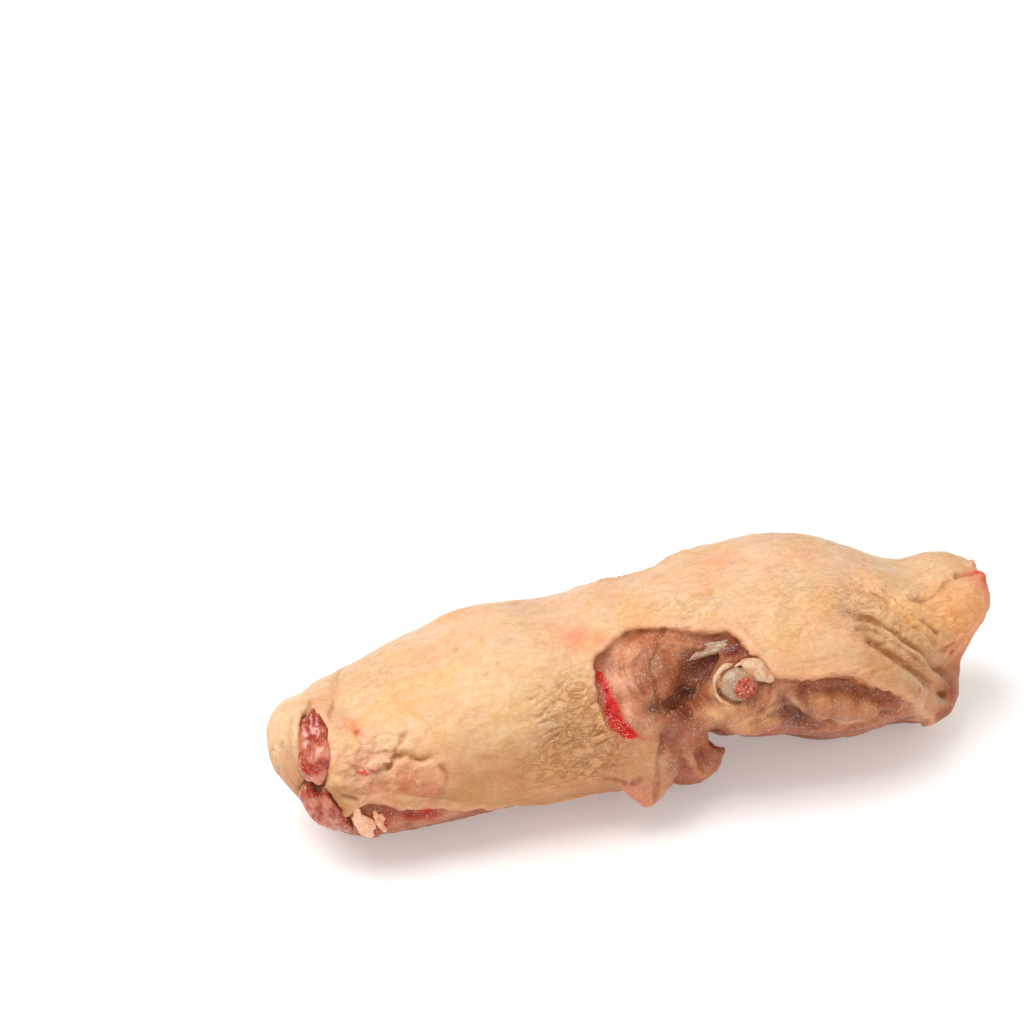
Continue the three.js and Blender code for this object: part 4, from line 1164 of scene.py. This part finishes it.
joint_pieces = {side: hip_joint(side) for side in JOINTS}
leaves = [strand("leaf", np.array(MEMBRANE) + i * LEAF_SHIFT, [0.3, 0.8, 0.8, 0.3])
          for i in range(MEMBRANE_LEAVES)]
membrane = melted("membrane", leaves, 0.3, 4, 0.9, small_lumps)
print("joint pieces:", [p.name for side in joint_pieces.values() for p in side])

# %% [markdown]
# Two bundles of neck muscle stick out of the rolled skin. Each is three or four long strands side by side,
# melted together, so the bundle keeps shallow grooves along its length, and a broad cloud texture makes it
# lumpy.

# %% Neck muscles
UPPER_STRANDS = [
    ([(-97.3, -6.5, 44), (-97.6, -12, 41.3), (-99, -17.5, 36.5), (-100.5, -20.5, 32.8)],
     [1.4, 2.7, 3.0, 1.4]),
    ([(-100, -6, 43.3), (-101.2, -11, 40), (-102.6, -16.5, 35.5), (-102.3, -19.5, 32.3)],
     [1.2, 2.5, 2.7, 1.4]),
    ([(-97.8, -4.8, 45), (-99.2, -9, 43.2), (-99.8, -13, 41)], [0.9, 1.7, 1.2]),
    ([(-99.3, -19.2, 37), (-101.2, -20.3, 33.8), (-100.6, -20.6, 31.8)], [1.0, 1.5, 0.9]),
]
LOWER_STRANDS = [
    ([(-102.4, -15.8, 30.3), (-103, -18.5, 26.5), (-100.3, -21, 21.5), (-96.5, -22.3, 15.8)],
     [1.4, 2.9, 3.0, 1.5]),
    ([(-99, -19.3, 29.6), (-98.8, -22, 25), (-95.8, -23.4, 19.8), (-93.2, -23.3, 15)],
     [1.2, 2.2, 2.4, 1.3]),
    ([(-101.8, -20.3, 27.6), (-99.8, -22.6, 23), (-97, -23.8, 19)], [0.8, 1.3, 0.8]),
]
muscle_lumps = clouds("muscle_lumps", 4.5, 3)


def muscle(name, lines):
    return melted(name, [strand("fibre", line, widths) for line, widths in lines], 0.4, 2, 1.6,
                  muscle_lumps)


upper_muscle = muscle("neck_muscle_top", UPPER_STRANDS)
lower_muscle = muscle("neck_muscle_bottom", LOWER_STRANDS)
print("muscles:", len(upper_muscle.data.polygons), len(lower_muscle.data.polygons), "faces")

# %% [markdown]
# Soft white fat hangs where the neck was cut, two bits below the muscles and one at the nick.

# %% Fat at the neck
FAT_LUMPS = [
    [([(-91.8, -26.6, 25.2), (-91.5, -27.6, 21.8), (-89.8, -28.2, 18.3), (-88.0, -27.8, 15.4)],
      [0.8, 1.5, 1.9, 0.9]),
     ([(-90.6, -27.4, 22.6), (-88.8, -28.2, 20.6), (-87.6, -28.4, 18.4)], [0.7, 1.5, 0.8]),
     ([(-92.6, -26.4, 22.5), (-91.8, -27, 19.5)], [0.8, 1.0])],
    [([(-87.4, -27.6, 24), (-86.2, -28.6, 20.5), (-84.4, -28.8, 17.0)], [0.6, 1.1, 0.6]),
     ([(-85.6, -28.2, 22.6), (-84.4, -28.6, 20.6)], [0.7, 0.6])],
    [([(-87.6, -22.6, 36), (-85.2, -22.8, 36), (-83.2, -22.8, 35.6)], [0.7, 1.5, 0.8]),
     ([(-85.6, -22, 36.8), (-82.6, -21.8, 36.6), (-80.6, -22.4, 35.8)], [0.6, 1.1, 0.6])],
]
fat = []
for number, lines in enumerate(FAT_LUMPS, 1):
    parts = [strand("fat", line, widths) for line, widths in lines]
    fat.append(melted(f"fat_{number}", parts, 0.35, 3, 1.1, small_lumps))
print("fat:", [piece.name for piece in fat])

# %% [markdown]
# Cut bone is pearly and cool, marrow a crumbly pink, cartilage white and slightly clear, fat a warm white.
# Muscle is dark red with fine fibres and wet highlights; its paler pink streaks along the fibres and its
# broad pale patches are partly membrane and partly painted sheen. All are tinted by `mottled` and flecked by
# `ice`.

# %% Finishes of the small pieces
CRYSTAL_WHITE = (242, 226, 208)


def plain_finish(name, colour, rows, rough, ice_amount, wetness, coat):
    made, tree, shader = finish(name)
    crystals = placed(tree, ice, {"Size": 0.5, "Amount": ice_amount})[0]
    base = tints(tree, linear(*colour), rows)
    base = blend(tree, calc(tree, "MULTIPLY", crystals, 0.7), base, linear(*CRYSTAL_WHITE))
    height = calc(tree, "ADD", calc(tree, "MULTIPLY", crystals, 0.3), noise(tree, 0.8, 3.0))
    tree.links.new(base, shader.inputs["Base Color"])
    bumped(tree, shader, height, 0.2, 0.6)
    shader.inputs["Roughness"].default_value = rough
    wet(shader, wetness, 1.2, coat)
    return made


bone_finish = plain_finish(
    "bone_finish", (170, 142, 116), [((0.86, 0.76, 0.66), 3.0, 0.7), ((0.95, 0.7, 0.6), 1.5, 0.5)],
    rough=0.32, ice_amount=0.4, wetness=0.15, coat=0.3)
marrow_finish = plain_finish(
    "marrow_finish", (184, 90, 66), [((0.6, 0.22, 0.18), 1.6, 1.0), ((0.7, 0.4, 0.4), 0.7, 0.7)],
    rough=0.5, ice_amount=0.6, wetness=0.1, coat=0.1)
cartilage_finish = plain_finish(
    "cartilage_finish", (208, 172, 138), [((0.84, 0.58, 0.46), 3.2, 0.9), ((0.92, 0.72, 0.62), 1.4, 0.6)],
    rough=0.36, ice_amount=0.5, wetness=0.15, coat=0.2)
fat_finish = plain_finish(
    "fat_finish", (224, 178, 144), [((0.92, 0.58, 0.46), 3.4, 0.9), ((0.95, 0.8, 0.7), 1.2, 0.6)],
    rough=0.38, ice_amount=0.9, wetness=0.15, coat=0.3)

MUSCLE_RED = (160, 56, 36)
FIBRE_PINK_AND_SHEEN = (206, 122, 92)
PALE_MEMBRANE_AND_SHEEN = (212, 142, 114)
FROSTED_MUSCLE = (236, 200, 180)
muscle_finish, tree, shader = finish("muscle_finish")
fibres = noise(tree, 2.4, 4.0, (1, 0.35, 0.25), 0.6)
# Paler pink streaks along the fibres and broad pale patches: partly fascia and membrane, partly painted sheen.
base = blend(tree, ranged(tree, fibres, 0.46, 0.78), linear(*MUSCLE_RED), linear(*FIBRE_PINK_AND_SHEEN))
base = blend(tree, ranged(tree, noise(tree, 5.0, 2.0), 0.44, 0.62, 0.0, 0.7), base, linear(*PALE_MEMBRANE_AND_SHEEN))
base = tints(tree, base, [((0.74, 0.38, 0.28), 6.0, 0.7), ((0.85, 0.66, 0.6), 1.3, 0.5)])
crystals = placed(tree, ice, {"Size": 0.5, "Amount": 0.45})[0]
base = blend(tree, calc(tree, "MULTIPLY", crystals, 0.6), base, linear(*FROSTED_MUSCLE))
height = calc(tree, "ADD", calc(tree, "MULTIPLY", fibres, 0.8), calc(tree, "MULTIPLY", crystals, 0.3))
tree.links.new(base, shader.inputs["Base Color"])
bumped(tree, shader, height, 0.22, 0.6)
shader.inputs["Roughness"].default_value = 0.26
wet(shader, 0.12, 1.2, 0.9)

balls, marrows, flaps, rings = zip(*joint_pieces.values())
finishes = {bone_finish: [*balls, membrane], marrow_finish: marrows, cartilage_finish: [*flaps, *rings],
            muscle_finish: [upper_muscle, lower_muscle], fat_finish: fat}
for made, pieces in finishes.items():
    for piece in pieces:
        piece.data.materials.clear()
        piece.data.materials.append(made)
print("finishes:", [made.name for made in finishes])

# %% [markdown]
# The piece lies on a plain pale table that glows a little, as the lit tables for product photographs do, so
# the shadow stays light. A faint unevenness in the table's white keeps it from looking printed.

# %% Table
TABLE_M = 3
TABLE_WHITES = linear(236, 235, 233), linear(240, 239, 238)
TABLE_GLOW = 0.22
bpy.ops.mesh.primitive_plane_add(size=TABLE_M, location=(0, 0, 0))
table = bpy.context.object
table.name = "table"
table_finish, tree, shader = finish("table_finish")
tree.links.new(blend(tree, noise(tree, 60.0), *TABLE_WHITES), shader.inputs["Base Color"])
shader.inputs["Roughness"].default_value = 0.6
shader.inputs["Emission Color"].default_value = (1.0, 0.99, 0.98, 1.0)
shader.inputs["Emission Strength"].default_value = TABLE_GLOW
table.data.materials.append(table_finish)
print("table:", TABLE_M, "m square")

# %% [markdown]
# Every piece rides on the one body of the frame, and the solids the pieces grew from are hidden.

# %% Hand over
near_pieces, far_pieces = joint_pieces["near"], joint_pieces["far"]
for piece in [body, upper_muscle, lower_muscle, membrane, *fat, *near_pieces, *far_pieces]:
    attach(piece, "root")
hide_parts("skin_and_flesh")
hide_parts("neck_muscle_upper")
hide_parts("neck_muscle_lower")
for side, (ball, marrow, flap, ring) in joint_pieces.items():
    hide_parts("hip_bone_" + side)
    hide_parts("hip_marrow_" + side)
